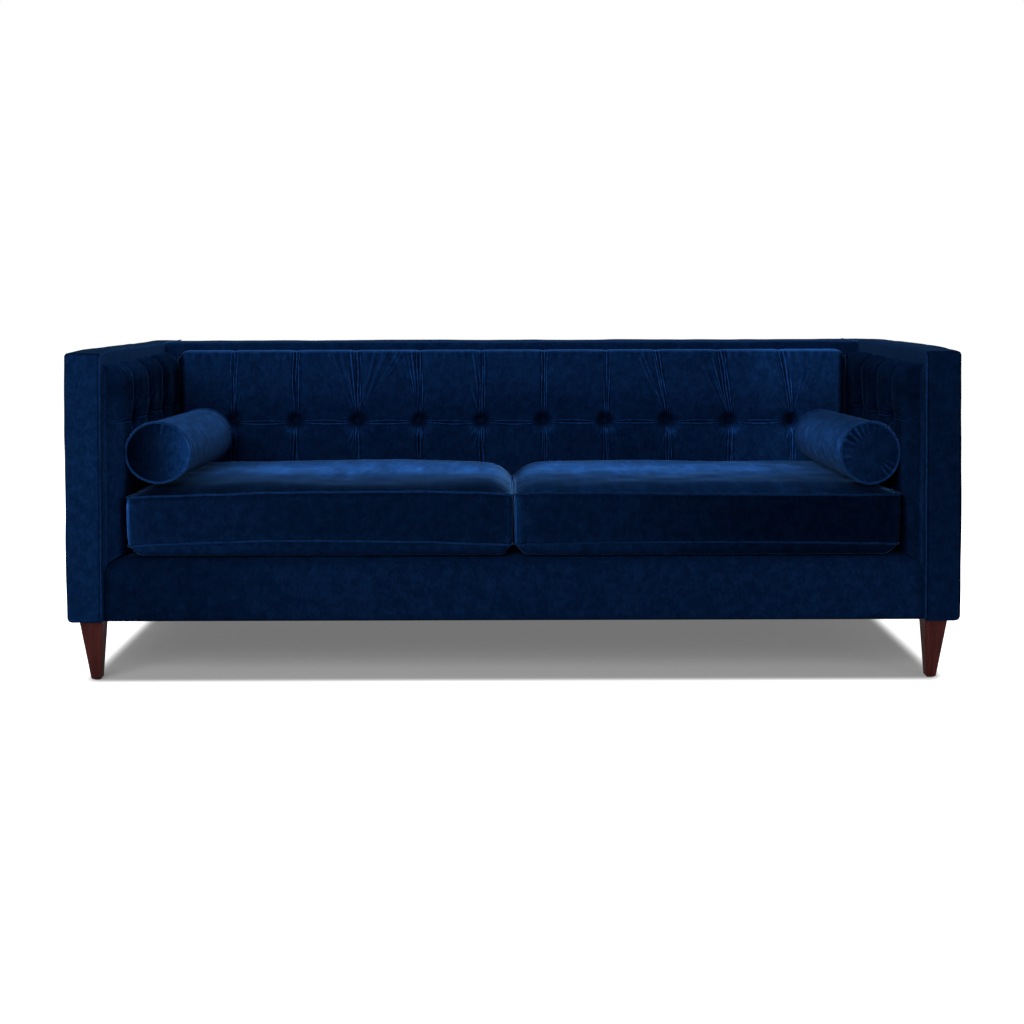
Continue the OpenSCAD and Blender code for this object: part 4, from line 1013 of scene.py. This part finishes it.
# Heights of the top seam and of the lower one, by the share of the cushion's width from its middle
SEAM_HEIGHTS = {
    "left": (((-1, 1), (-0.93, 4), (-0.5, 8), (0, 7), (0.25, 6), (0.55, 1.5), (0.85, -2), (1, -6)),
             ((-1, -5), (-0.93, -3.5), (-0.5, 3.5), (0, 6.5), (0.25, 7), (0.55, 3), (0.85, -2), (1, -7))),
    "right": (((-1, 3), (-0.93, 4), (-0.5, 3), (0, 0.5), (0.4, -1.5), (0.8, -2.5), (1, -1)),
              ((-1, -5), (-0.93, -3.5), (-0.5, 1), (0, 1.5), (0.5, 0), (0.85, -3), (1, -5))),
}


def seam_sag(word, x, z):
    """How far a cushion's seams lie over or under their mean height, along its width."""
    high, low = (through(x / CUSHION_HALF[0], knots) for knots in SEAM_HEIGHTS[word])
    share = np.clip((z - UNDER_H) / (SIDE_H - UNDER_H), 0, 1)
    return low + (high - low) * share


def end_droop(x, y):
    """How far the top sinks towards the other cushion; it grows from the front to the rear."""
    from_front = np.clip((y + 0.28 * CUSHION_HALF[1]) / (1.28 * CUSHION_HALF[1]), 0, 1)
    return (3 + END_DROOP * from_front) * np.exp(-(CUSHION_HALF[0] + x) / 30)


def flare(x, y, z):
    """How far the front corner beside the arm is drawn out, most at the top seam."""
    share = 0.4 + 0.6 * np.clip((z - UNDER_H) / (SIDE_H - UNDER_H), 0, 1)
    return CUSHION_FLARE * share * np.exp(-(y + CUSHION_HALF[1]) / 22) * smooth(x / CUSHION_HALF[0] * 10 - 9)


def push_out(x, y):
    """How far a cushion's border may swell: most in the middle of the front, nothing at its corners."""
    front = smooth((-y / CUSHION_HALF[1] - 0.2) / 0.8)
    return BORDER_SWELL * front * smooth((CUSHION_HALF[0] - np.abs(x)) / 90)


def cushion_ticks(half):
    """Shares along half a cushion's plan and back, closer together near its seams."""
    edge = np.array([0, 1, 2.2, 3.6, 5.2, 7, 9.2, 12, 15.5, 19.5, 24, 28, 33, 39])
    inner = half - edge[-1]
    middle = np.linspace(-inner, inner, round(2 * inner / 4.6) + 1)
    return np.concatenate([-half + edge, middle[1:-1], half - edge[::-1]]) / half


def make_cushion(word):
    """A box cushion with a crowned top, a swelling border and a rounded underside, and its two welts."""
    half_x, half_y = CUSHION_HALF
    seed = 211 if word == "left" else 257
    levels = np.array([0, 2, 5, 9, 14, 19, 24, 28, 31, 33, UNDER_H, 35.2, 37, 39.5, 43, 48,
                       *np.arange(54, 134, 5.0), 137, 141, 144.5, 147, 148.8, SIDE_H])
    points, faces = box_shell(cushion_ticks(half_x), cushion_ticks(half_y), levels)
    a, b, z = points.T
    on_a, on_b = np.abs(a) > 1 - 1e-9, np.abs(b) > 1 - 1e-9
    on_side = on_a | on_b
    is_top = (z > SIDE_H - 1e-9) & ~on_side

    under = np.clip((UNDER_H - z) / UNDER_H, 0, 1)
    along = np.clip((z - UNDER_H) / (SIDE_H - UNDER_H), 0, 1)
    from_seam = np.maximum(np.minimum(z - UNDER_H, SIDE_H - z), 0)
    under_inset = SEAM_GROOVE + (UNDER_H - 6) * (1 - np.sqrt(np.clip(1 - under ** 1.8, 0, 1)))
    border_inset = SEAM_GROOVE * np.exp(-from_seam / 5.0) + BORDER_INSET
    inset = np.where(z < UNDER_H, under_inset, border_inset)
    plan = (half_x - inset, half_y - inset)
    x, y = rounded(a * plan[0], b * plan[1], *plan, np.maximum(CUSHION_R - inset, 3.0))

    run = np.where(np.abs(a) > np.abs(b), y + 1000, x)
    swell = np.sin(math.pi * along) ** 0.8 * push_out(x, y)
    pucker = 0.45 * soft_chance(run, z * 0.15, 9, seed) * np.exp(-from_seam / 9)
    drape = 0.55 * soft_chance(run, z * 0.5, 55, seed + 1) * np.sin(math.pi * along)
    out = np.where(on_side & (z > UNDER_H), swell + pucker + drape, 0)
    out += np.where(on_side & (z < UNDER_H) & (z > 1), 0.5 * soft_chance(run, z * 0.3, 22, seed + 2), 0)
    corner = (np.abs(x) > half_x - CUSHION_R) & (np.abs(y) > half_y - CUSHION_R)
    corner_x = (np.abs(x) - half_x + CUSHION_R) * np.sign(x)
    corner_y = (np.abs(y) - half_y + CUSHION_R) * np.sign(y)
    length = np.maximum(np.hypot(corner_x, corner_y), 1e-6)
    x = x + out * np.where(corner, corner_x / length, np.where(on_a, np.sign(a), 0))
    y = y + out * np.where(corner, corner_y / length, np.where(on_b, np.sign(b), 0))

    u = np.clip(np.abs(x) / (half_x - SEAM_GROOVE - BORDER_INSET), 0, 1)
    v = np.clip(np.abs(y) / (half_y - SEAM_GROOVE - BORDER_INSET), 0, 1)
    low_dome = np.sqrt(np.clip(1 - u ** 3, 0, 1)) * np.sqrt(np.clip(1 - v ** 2.7, 0, 1))
    ends = np.sin(math.pi / 2 * np.clip(half_x * (1 - u) / 62, 0, 1))
    front = np.sin(math.pi / 2 * np.clip(half_y * (1 - v) / 100, 0, 1))
    dome = 0.2 * low_dome + 0.8 * ends * front
    loose = 1.1 * soft_chance(x, y, 170, seed + 3) + 0.45 * soft_chance(x, y, 60, seed + 4)
    from_edge = np.minimum(half_x * (1 - u), half_y * (1 - v))
    nips = 0.7 * soft_chance(x, y, 10, seed + 5) * np.exp(-from_edge / 13) * smooth(from_edge / 5)
    sag, droop = seam_sag(word, x, z), end_droop(x, y)
    corner_lift = np.clip(1 - (half_x - 3 - np.abs(x)) / 30, 0, 1) ** 1.4 * np.exp(-(y + half_y) / 60)
    low_z = z + np.maximum(UNDER_H - z, 0) * 0.8 * np.minimum(corner_lift, 1)
    height = np.where(is_top, SIDE_H + CROWN_H * dome + loose * dome + nips, low_z)
    lift = np.where(is_top, sag * (1 - dome ** 2) - droop, sag * smooth(z / UNDER_H) - droop * along)
    x = x + flare(x, y, z)
    points = np.stack([CUSHION_AT[0] + x, CUSHION_AT[1] + y, CUSHION_Z + height + lift], -1)
    piece = mirrored_piece(f"cushion_case_{word}", points, faces, SIDES[word])
    darker, pipe_tone = (0.0, -0.1) if word == "left" else (0.4, -0.32)
    front_tone, rear_sheen_gain, rear_bend = (-0.33, 1.34, 1.0) if word == "left" else (0.12, 1.02, 1.4)
    highlit_end = CUSHION_X1 if word == "left" else MIDDLE_X0

    # Pile tone: on the top a painted sheen that grows to the rear, with random clouds, and painted shadow
    # beside the bolster and at the inner end.
    def lean(p, n):
        x, up = np.abs(p[:, 0]), np.clip(n[:, 2], 0, 1) ** 2
        rear = smooth((p[:, 1] - CUSHION_Y0 - 20) / 330)
        clouds = soft_chance(p[:, 0], p[:, 1] * 0.2, 38, seed + 8)
        clouds += 0.7 * soft_chance(p[:, 0], p[:, 1] * 0.2, 15, seed + 9)
        shade = 0.4 * smooth((x - 620) / 150) * (0.3 + 0.7 * rear) + 0.5 * np.exp(-x / 16)
        top = front_tone + rear_sheen_gain * rear ** rear_bend + 0.05 * clouds - shade
        # On the sides a painted highlight down the corner at one end, painted shade under the top seam and on
        # the underside, lighter in a band at the bottom; darker outwards on the right cushion and inwards on
        # the left.
        inwards = np.abs(x - highlit_end)
        rim = (smooth((10 - inwards) / 8) + 0.16 * smooth((70 - inwards) / 70)) * smooth(-n[:, 1] / 0.6)
        seam_z = CUSHION_Z + SIDE_H + seam_sag(word, x - CUSHION_AT[0], SIDE_H)
        side_tone = 0.85 * rim - darker * smooth((x - 150) / 600) - 0.25 * bell((p[:, 2] - seam_z + 7) / 4)
        side_tone -= 0.4 * np.clip(-n[:, 2], 0, 1) ** 6
        side_tone += 0.1 * smooth((CUSHION_Z + UNDER_H - p[:, 2]) / 8)
        if word == "left":
            side_tone -= 0.13 * (1 - smooth((x - 480) / 250))
        return up * top + (1 - up) * side_tone

    paint_light_and_pile(piece, fold=12, lean=lean)
    body = f"{word}_seat_cushion"
    finish_piece(piece, body, VELVET[f"cushion_{word}"], [f"seat_cushion_{word}"])
    welts = [tube(welt_path(seam_z, word), CUSHION_WELT) for seam_z in (UNDER_H, SIDE_H)]
    piping = make_piece(f"cushion_piping_{word}", *joined(welts))
    paint_light_and_pile(piping, fold=3, lean=lambda p, n: pipe_tone + 0 * p[:, 0])
    finish_piece(piping, body, VELVET_PIPING, [f"seat_welts_{word}"])


def welt_path(z, word):
    """Middle line of the piping of one seam of a cushion."""
    half = CUSHION_HALF - CUSHION_WELT - 0.2
    r = CUSHION_R - CUSHION_WELT
    corners = np.array([(1, -1), (1, 1), (-1, 1), (-1, -1)]) * (half - r)
    path = []
    for k, centre in enumerate(corners):
        turn = np.radians(np.linspace(90 * (k - 1), 90 * k, 9))
        arc = centre + r * np.stack([np.cos(turn), np.sin(turn)], -1)
        ahead = corners[(k + 1) % 4] - centre
        shares = np.linspace(0, 1, int(np.linalg.norm(ahead) / 8) + 2)[1:-1, None]
        path += [arc, arc[-1] + shares * ahead]
    x, y = np.concatenate(path).T
    sway = 0.3 * np.sin(np.arange(len(x)) / 2.7)
    height = CUSHION_Z + z + seam_sag(word, x, z) + sway - end_droop(x, y) * (z > UNDER_H)
    return np.stack([SIDES[word] * (CUSHION_AT[0] + x + flare(x, y, z)), CUSHION_AT[1] + y, height], -1)


for word in SIDES:
    make_cushion(word)


# Bolsters

BOLSTER_LOW, BOLSTER_HIGH = node_box("bolster_right")
CORE_LOW, CORE_HIGH = node_box("bolster_core_right")
WELTS_LOW, WELTS_HIGH = node_box("bolster_welts_right")
BOLSTER_X = (BOLSTER_LOW[0] + BOLSTER_HIGH[0]) / 2
BOLSTER_Z = (CORE_LOW[2] + CORE_HIGH[2]) / 2
BOLSTER_WELT = 2.9
BOLSTER_R = (WELTS_HIGH[0] - WELTS_LOW[0]) / 2 - BOLSTER_WELT
BOLSTER_Y0 = WELTS_LOW[1] + 2.4
BOLSTER_Y1 = WELTS_HIGH[1] - 2.4
BOLSTER_CAP = 6.0
BOLSTER_LIE = {
    "left": {"out": 4.0, "toe_in": 0.026, "wide": 1.04, "top": (3.4, -6.0), "under": (8.7, 0.0)},
    "right": {"out": 9.0, "toe_in": 0.03, "wide": 0.93, "top": (0.5, -13.0), "under": (2.5, 0.0)},
}
# Painted light and shade: slope and tone of the front end, then the tones of the top and of the inner side
BOLSTER_PAINTED_LIGHT = {"left": (0.9, -0.36, 0.12, 0.16), "right": (0.1, -0.17, -0.27, 0.46)}
# Angle, spread, height and count of the folds in an end
BOLSTER_GATHERS = {
    "left": [(82, 9, 5.0, 16), (-60, 50, 0.8, 18)],
    "right": [(140, 46, 6.0, 23), (-38, 24, 3.4, 23)],
    "rear": [(100, 70, 3.0, 24), (-80, 50, 2.6, 24)],
}


def settle(word, points):
    """A stuffed roll as it lies: each end a little flattened or narrowed, sunk at the rear and turned in."""
    lie = BOLSTER_LIE[word]
    t = np.clip((points[:, 1] - BOLSTER_Y0) / (BOLSTER_Y1 - BOLSTER_Y0), 0, 1)
    up = (points[:, 2] - BOLSTER_Z) / BOLSTER_R
    top, under = (front + (rear - front) * t for front, rear in (lie["top"], lie["under"]))
    across = (points[:, 0] - BOLSTER_X) * (1 + (lie["wide"] - 1) * (1 - t))
    x = BOLSTER_X + across + lie["out"] - lie["toe_in"] * (points[:, 1] - BOLSTER_Y0)
    z = points[:, 2] + (1 + up) / 2 * top + (1 - up) / 2 * under
    return np.stack([SIDES[word] * x, points[:, 1], z], -1)


def cap_relief(turn, share, gathers, seed):
    """Unevenness of a bolster's end: folds that run in from the seam, as its gathers say."""
    relief = np.zeros(np.broadcast(turn, share).shape)
    reach = smooth((share - 0.5) / 0.3) * smooth((1.02 - share) / 0.1)
    for angle, spread, height, count in gathers:
        away = (turn - math.radians(angle) + math.pi) % (2 * math.pi) - math.pi
        folds = np.cos(away * count + 1.1 * np.sin(3 * away + angle)) * (1 + 0.4 * np.sin(5 * away + 2))
        relief = relief + 0.5 * height * folds * bell(away / math.radians(spread)) * reach
    ripple = soft_chance(np.cos(turn) * share * 60, np.sin(turn) * share * 60, 34, seed)
    return relief + 0.16 * ripple * (1 - share ** 4)


def make_bolster(word):
    """A round roll with puckered seams and gathered ends, and its two welts."""
    side, seed = SIDES[word], 307 if word == "left" else 331
    end_slope, end_tone, top_tone, side_tone = BOLSTER_PAINTED_LIGHT[word]
    turns = np.linspace(0, 2 * math.pi, 200, endpoint=False)
    around, upwards = np.cos(turns), np.sin(turns)
    share = np.concatenate([np.linspace(0.02, 0.86, 20), np.linspace(0.885, 0.985, 6)])[:, None]
    near, far = (BOLSTER_CAP * (1 - share ** 2) + cap_relief(turns, share, gathers, seed + shift)
                 for gathers, shift in ((BOLSTER_GATHERS[word], 0), (BOLSTER_GATHERS["rear"], 9)))
    length = BOLSTER_Y1 - BOLSTER_Y0
    s = np.concatenate([np.linspace(0, 18, 10), np.linspace(18, length - 18, 110)[1:-1],
                        np.linspace(length - 18, length, 10)])[:, None]
    end = np.minimum(s, length - s)
    dents = soft_chance(s, around * 80, 85, seed + 1) + soft_chance(s, upwards * 80, 70, seed + 2)
    puckers = [soft_chance(around * 77, upwards * 77, 8, seed + k) for k in (3, 4)]
    pucker = 0.5 * np.where(s < length / 2, *puckers) * np.exp(-end / 14)
    swell = 1.6 * np.sin(math.pi * s / length) ** 0.6 - 2.6 * np.exp(-end / 3.2)
    cap_r = BOLSTER_R * share + 0 * turns
    r = np.concatenate([cap_r, BOLSTER_R + swell + 0.03 * dents + pucker, cap_r[::-1]])
    y = np.concatenate([BOLSTER_Y0 - near, BOLSTER_Y0 + s + 0 * turns, BOLSTER_Y1 + far[::-1]])
    z = BOLSTER_Z + r * upwards
    flat = BOLSTER_Z - BOLSTER_R + 1.2
    z = np.where(z < flat, flat + 0.25 * (z - flat), z)
    points = np.stack([BOLSTER_X + side * r * around, y, z], -1).reshape(-1, 3)
    n, m = r.shape
    faces = grid_faces(n, m, ring=True).tolist()
    faces += [list(range(m)), list(range((n - 1) * m, n * m))[::-1]]
    piece = make_piece(f"bolster_case_{word}", settle(word, points), faces)

    # Pile tone: painted light across the front end and on the top and inner side, and random mottling.
    def lean(p, n):
        x, y, z = p.T
        front, up, inner = np.clip(-n[:, 1], 0, 1), np.clip(n[:, 2], 0, 1), np.clip(-side * n[:, 0], 0, 1)
        tone = front * (end_slope * np.clip((BOLSTER_X - side * x) / BOLSTER_R, -1, 1) + end_tone)
        tone += top_tone * up ** 2 + side_tone * inner ** 2
        for size, height in ((26, 0.07), (10, 0.05)):
            tone += height * n[:, 2] ** 2 * soft_chance(x, y, size, seed + 5)
            tone += height * n[:, 0] ** 2 * soft_chance(y, z, size, seed + 6)
        return tone

    paint_light_and_pile(piece, fold=8, lean=lean)
    body = f"{word}_bolster"
    finish_piece(piece, body, VELVET[f"bolster_{word}"], [f"bolster_{word}"])
    ring = np.linspace(0, 2 * math.pi, 140, endpoint=False)
    r = BOLSTER_R + 0.3 * np.sin(7 * ring)
    x, z = BOLSTER_X + r * np.cos(ring), BOLSTER_Z + r * np.sin(ring)
    paths = [np.stack([x, np.full_like(ring, y), z], -1) for y in (BOLSTER_Y0, BOLSTER_Y1)]
    welts = [tube(settle(word, path), BOLSTER_WELT) for path in paths]
    piping = make_piece(f"bolster_piping_{word}", *joined(welts))
    finish_piece(piping, body, BOLSTER_HIGHLIGHT_PIPING, [f"bolster_welts_{word}"])


for word in SIDES:
    make_bolster(word)


# Legs, and the dust cover under the frame

LEGS = ("leg_front_left", "leg_front_right", "leg_rear_left", "leg_rear_right")
LEG_TOP, LEG_FOOT, LEG_SLANT = 54.0, 24.0, 8.0
LEG_EASE, FOOT_BEVEL = 2.4, 3.0
LEG_ROOM = 1.0
SHEET_GAP = 0.6
STAPLE_STEP, STAPLE_HALF = 78.0, (5.5, 0.6)
HEM_W, HEM_T = 15.0, 1.1


def leg_middle(node_name):
    """Middle of a leg's top in plan."""
    low, high = node_box(node_name)
    x = high[0] - LEG_TOP / 2 if low[0] > 0 else low[0] + LEG_TOP / 2
    return x, (low[1] + high[1]) / 2


def bar(low, high):
    """A small block."""
    return box_shell(*[np.linspace(a, b, 2) for a, b in zip(low, high)])


def sheet_ticks(low, high, count, cuts):
    """Even places from low to high, with those of the cuts among them."""
    places = np.concatenate([np.linspace(low, high, count), cuts])
    return np.unique(np.round(np.clip(places, low, high), 3))


def make_dust_cover():
    """Thin cloth stretched under the frame, cut round the legs, folded under at its edge and stapled."""
    low, high = node_box("dust_cover")
    half = LEG_TOP / 2 + LEG_ROOM
    squares = [(x - half, x + half, y - half, y + half) for x, y in map(leg_middle, LEGS)]
    xs = sheet_ticks(low[0], high[0], 150, [x for square in squares for x in square[:2]])
    ys = sheet_ticks(low[1], high[1], 64, [y for square in squares for y in square[2:]])
    X, Y = np.meshgrid(xs, ys, indexing="ij")
    u, v = (X - low[0]) / (high[0] - low[0]), (Y - low[1]) / (high[1] - low[1])
    inwards = np.sqrt(np.clip(np.sin(math.pi * u), 0, 1)) * np.sin(math.pi * v)
    Z = high[2] - SHEET_GAP - 6.0 * inwards - 0.8 * inwards * soft_chance(X, Y, 85, 23)
    middle_x, middle_y = ((row[:-1, :-1] + row[1:, 1:]).ravel() / 2 for row in (X, Y))
    kept = np.ones(len(middle_x), bool)
    for x0, x1, y0, y1 in squares:
        kept &= ~((middle_x > x0) & (middle_x < x1) & (middle_y > y0) & (middle_y < y1))
    used, place = np.unique(grid_faces(*X.shape)[kept], return_inverse=True)
    points = np.stack([X, Y, Z], -1).reshape(-1, 3)[used]
    sheet = make_piece("dust_sheet", points, place.reshape(-1, 4)[:, ::-1])
    z = high[2] - SHEET_GAP - HEM_T
    x0, x1 = squares[0][1], squares[1][0]
    y0, y1 = squares[0][3], squares[2][2]
    runs = [(x0, x1, low[1], low[1] + HEM_W), (x0, x1, high[1] - HEM_W, high[1]),
            (low[0], low[0] + HEM_W, y0, y1), (high[0] - HEM_W, high[0], y0, y1)]
    hems, staples = [], []
    for a, b, c, d in runs:
        hems.append(bar((a, c, z), (b, d, z + HEM_T)))
        along_x = b - a > d - c
        length = b - a if along_x else d - c
        count = int(length / STAPLE_STEP)
        for k in range(count):
            at = (k + 0.5) / count * length
            x, y = (a + at, (c + d) / 2) if along_x else ((a + b) / 2, c + at)
            half_x, half_y = STAPLE_HALF if along_x else STAPLE_HALF[::-1]
            staples.append(bar((x - half_x, y - half_y, z - 0.7), (x + half_x, y + half_y, z + 0.1)))
    hem = make_piece("dust_sheet_hem", *joined(hems), smooth_shaded=False)
    pins = make_piece("dust_sheet_staples", *joined(staples), smooth_shaded=False)
    finish_piece(sheet, "sofa", DUST_CLOTH, ["dust_cover"])
    finish_piece(hem, "sofa", DUST_CLOTH)
    finish_piece(pins, "sofa", STEEL)


def make_leg(node_name):
    """A tapered square leg with eased edges; it leans as its CAD solid does."""
    low, high = node_box(node_name)
    side = 1 if low[0] > 0 else -1
    tall = high[2] - low[2]
    unit = graded(2.0, 0.25, 0.05, 0.25) * 2 - 1
    heights = np.concatenate([[0, 0.8, 1.6, 2.4, 3.2, 5, 8], np.linspace(14, tall - 4, 22), [tall - 2, tall]])
    points, faces = box_shell(unit, unit, heights)
    a, b, h = points.T
    share = h / tall
    half = LEG_FOOT / 2 + (LEG_TOP - LEG_FOOT) / 2 * share - np.clip(FOOT_BEVEL - h, 0, FOOT_BEVEL)
    x, y = rounded(a * half, b * half, half, half, LEG_EASE)
    top_x, middle_y = leg_middle(node_name)
    x = top_x - side * LEG_SLANT * (1 - share) + x
    piece = make_piece(node_name + "_wood", np.stack([x, middle_y + y, low[2] + h], -1), faces)
    finish_piece(piece, "sofa", CHERRY, [node_name])


for leg in LEGS:
    make_leg(leg)
make_dust_cover()


# Floor, backdrop and light

FLOOR_CORNERS = ((-14000, -10000, 0), (14000, -10000, 0), (14000, 18000, 0), (-14000, 18000, 0))
FLOOR_GLOW_SHADOW, FLOOR_GLOW_ROUND = 0.165, 1.0
FLOOR_TONE_SHADOW, FLOOR_TONE_ROUND = 0.3, 0.85
# Edges of the painted shadow: axis, and in metres where it starts and where it is full
FLOOR_EDGES = (("X", 1.065, 0.995), ("Y", -0.455, -0.375), ("Y", 0.47, 0.39), ("X", -1.065, -0.995))
KEY_POWER = 118.0
TOP_POWER = 150.0
FILL_POWER = 20.0
AMBIENT = 0.12


def seen_directly(n):
    """1 for rays from the camera, reflections and glass; 0 for the light that falls on the object."""
    rays = n.add("ShaderNodeLightPath").outputs
    total = rays["Is Camera Ray"]
    for name in ("Is Glossy Ray", "Is Transmission Ray"):
        total = n.calc("MAXIMUM", total, rays[name])
    return total


def make_floor():
    """White ground with a painted shadow: right under the sofa it is painted darker and glows less, so that
    the shadow there stays grey.
    """
    n = Nodes("floor")
    place = n.add("ShaderNodeSeparateXYZ", {0: n.add("ShaderNodeTexCoord").outputs["Object"]}).outputs
    under = 1.0
    for axis, outer, inner in FLOOR_EDGES:
        under = n.calc("MULTIPLY", under, n.soft_range(place[axis], 0, 1, outer, inner))
    tone = n.soft_range(under, FLOOR_TONE_ROUND, FLOOR_TONE_SHADOW)
    strength = n.calc("MULTIPLY", seen_directly(n), n.soft_range(under, FLOOR_GLOW_ROUND, FLOOR_GLOW_SHADOW))
    diffuse = n.add("ShaderNodeBsdfDiffuse", {"Color": tone}).outputs[0]
    glow = n.add("ShaderNodeEmission", {"Strength": strength}).outputs[0]
    floor = make_piece("floor", FLOOR_CORNERS, [(0, 1, 2, 3)], smooth_shaded=False)
    floor.data.materials.append(n.show(n.add("ShaderNodeAddShader", {0: diffuse, 1: glow})))


def make_world():
    n = Nodes("studio", "World")
    strength = n.range(seen_directly(n), AMBIENT, 1.0, 0, 1)
    room = n.add("ShaderNodeBackground", {"Color": (1, 1, 1), "Strength": strength})
    bpy.context.scene.world = n.show(room)


def make_lamp(name, at, target, size, power):
    data = bpy.data.lights.new(name, "AREA")
    data.shape = "RECTANGLE"
    data.size, data.size_y = size
    data.energy = power
    lamp = new_object(name, data)
    lamp.location = at
    lamp.rotation_euler = (Vector(target) - Vector(at)).to_track_quat("-Z", "Y").to_euler()
    lamp.visible_camera = False


make_floor()
make_world()
make_lamp("key", (-1.5, -3.4, 2.4), (0, 0, 0.45), (3.2, 2.0), KEY_POWER)
make_lamp("top", (0.0, 1.5, 2.9), (0, 0, 0.4), (3.6, 1.6), TOP_POWER)
make_lamp("fill", (3.0, -3.2, 1.7), (0.2, 0, 0.45), (2.0, 2.0), FILL_POWER)

bpy.context.scene.view_settings.view_transform = "Standard"
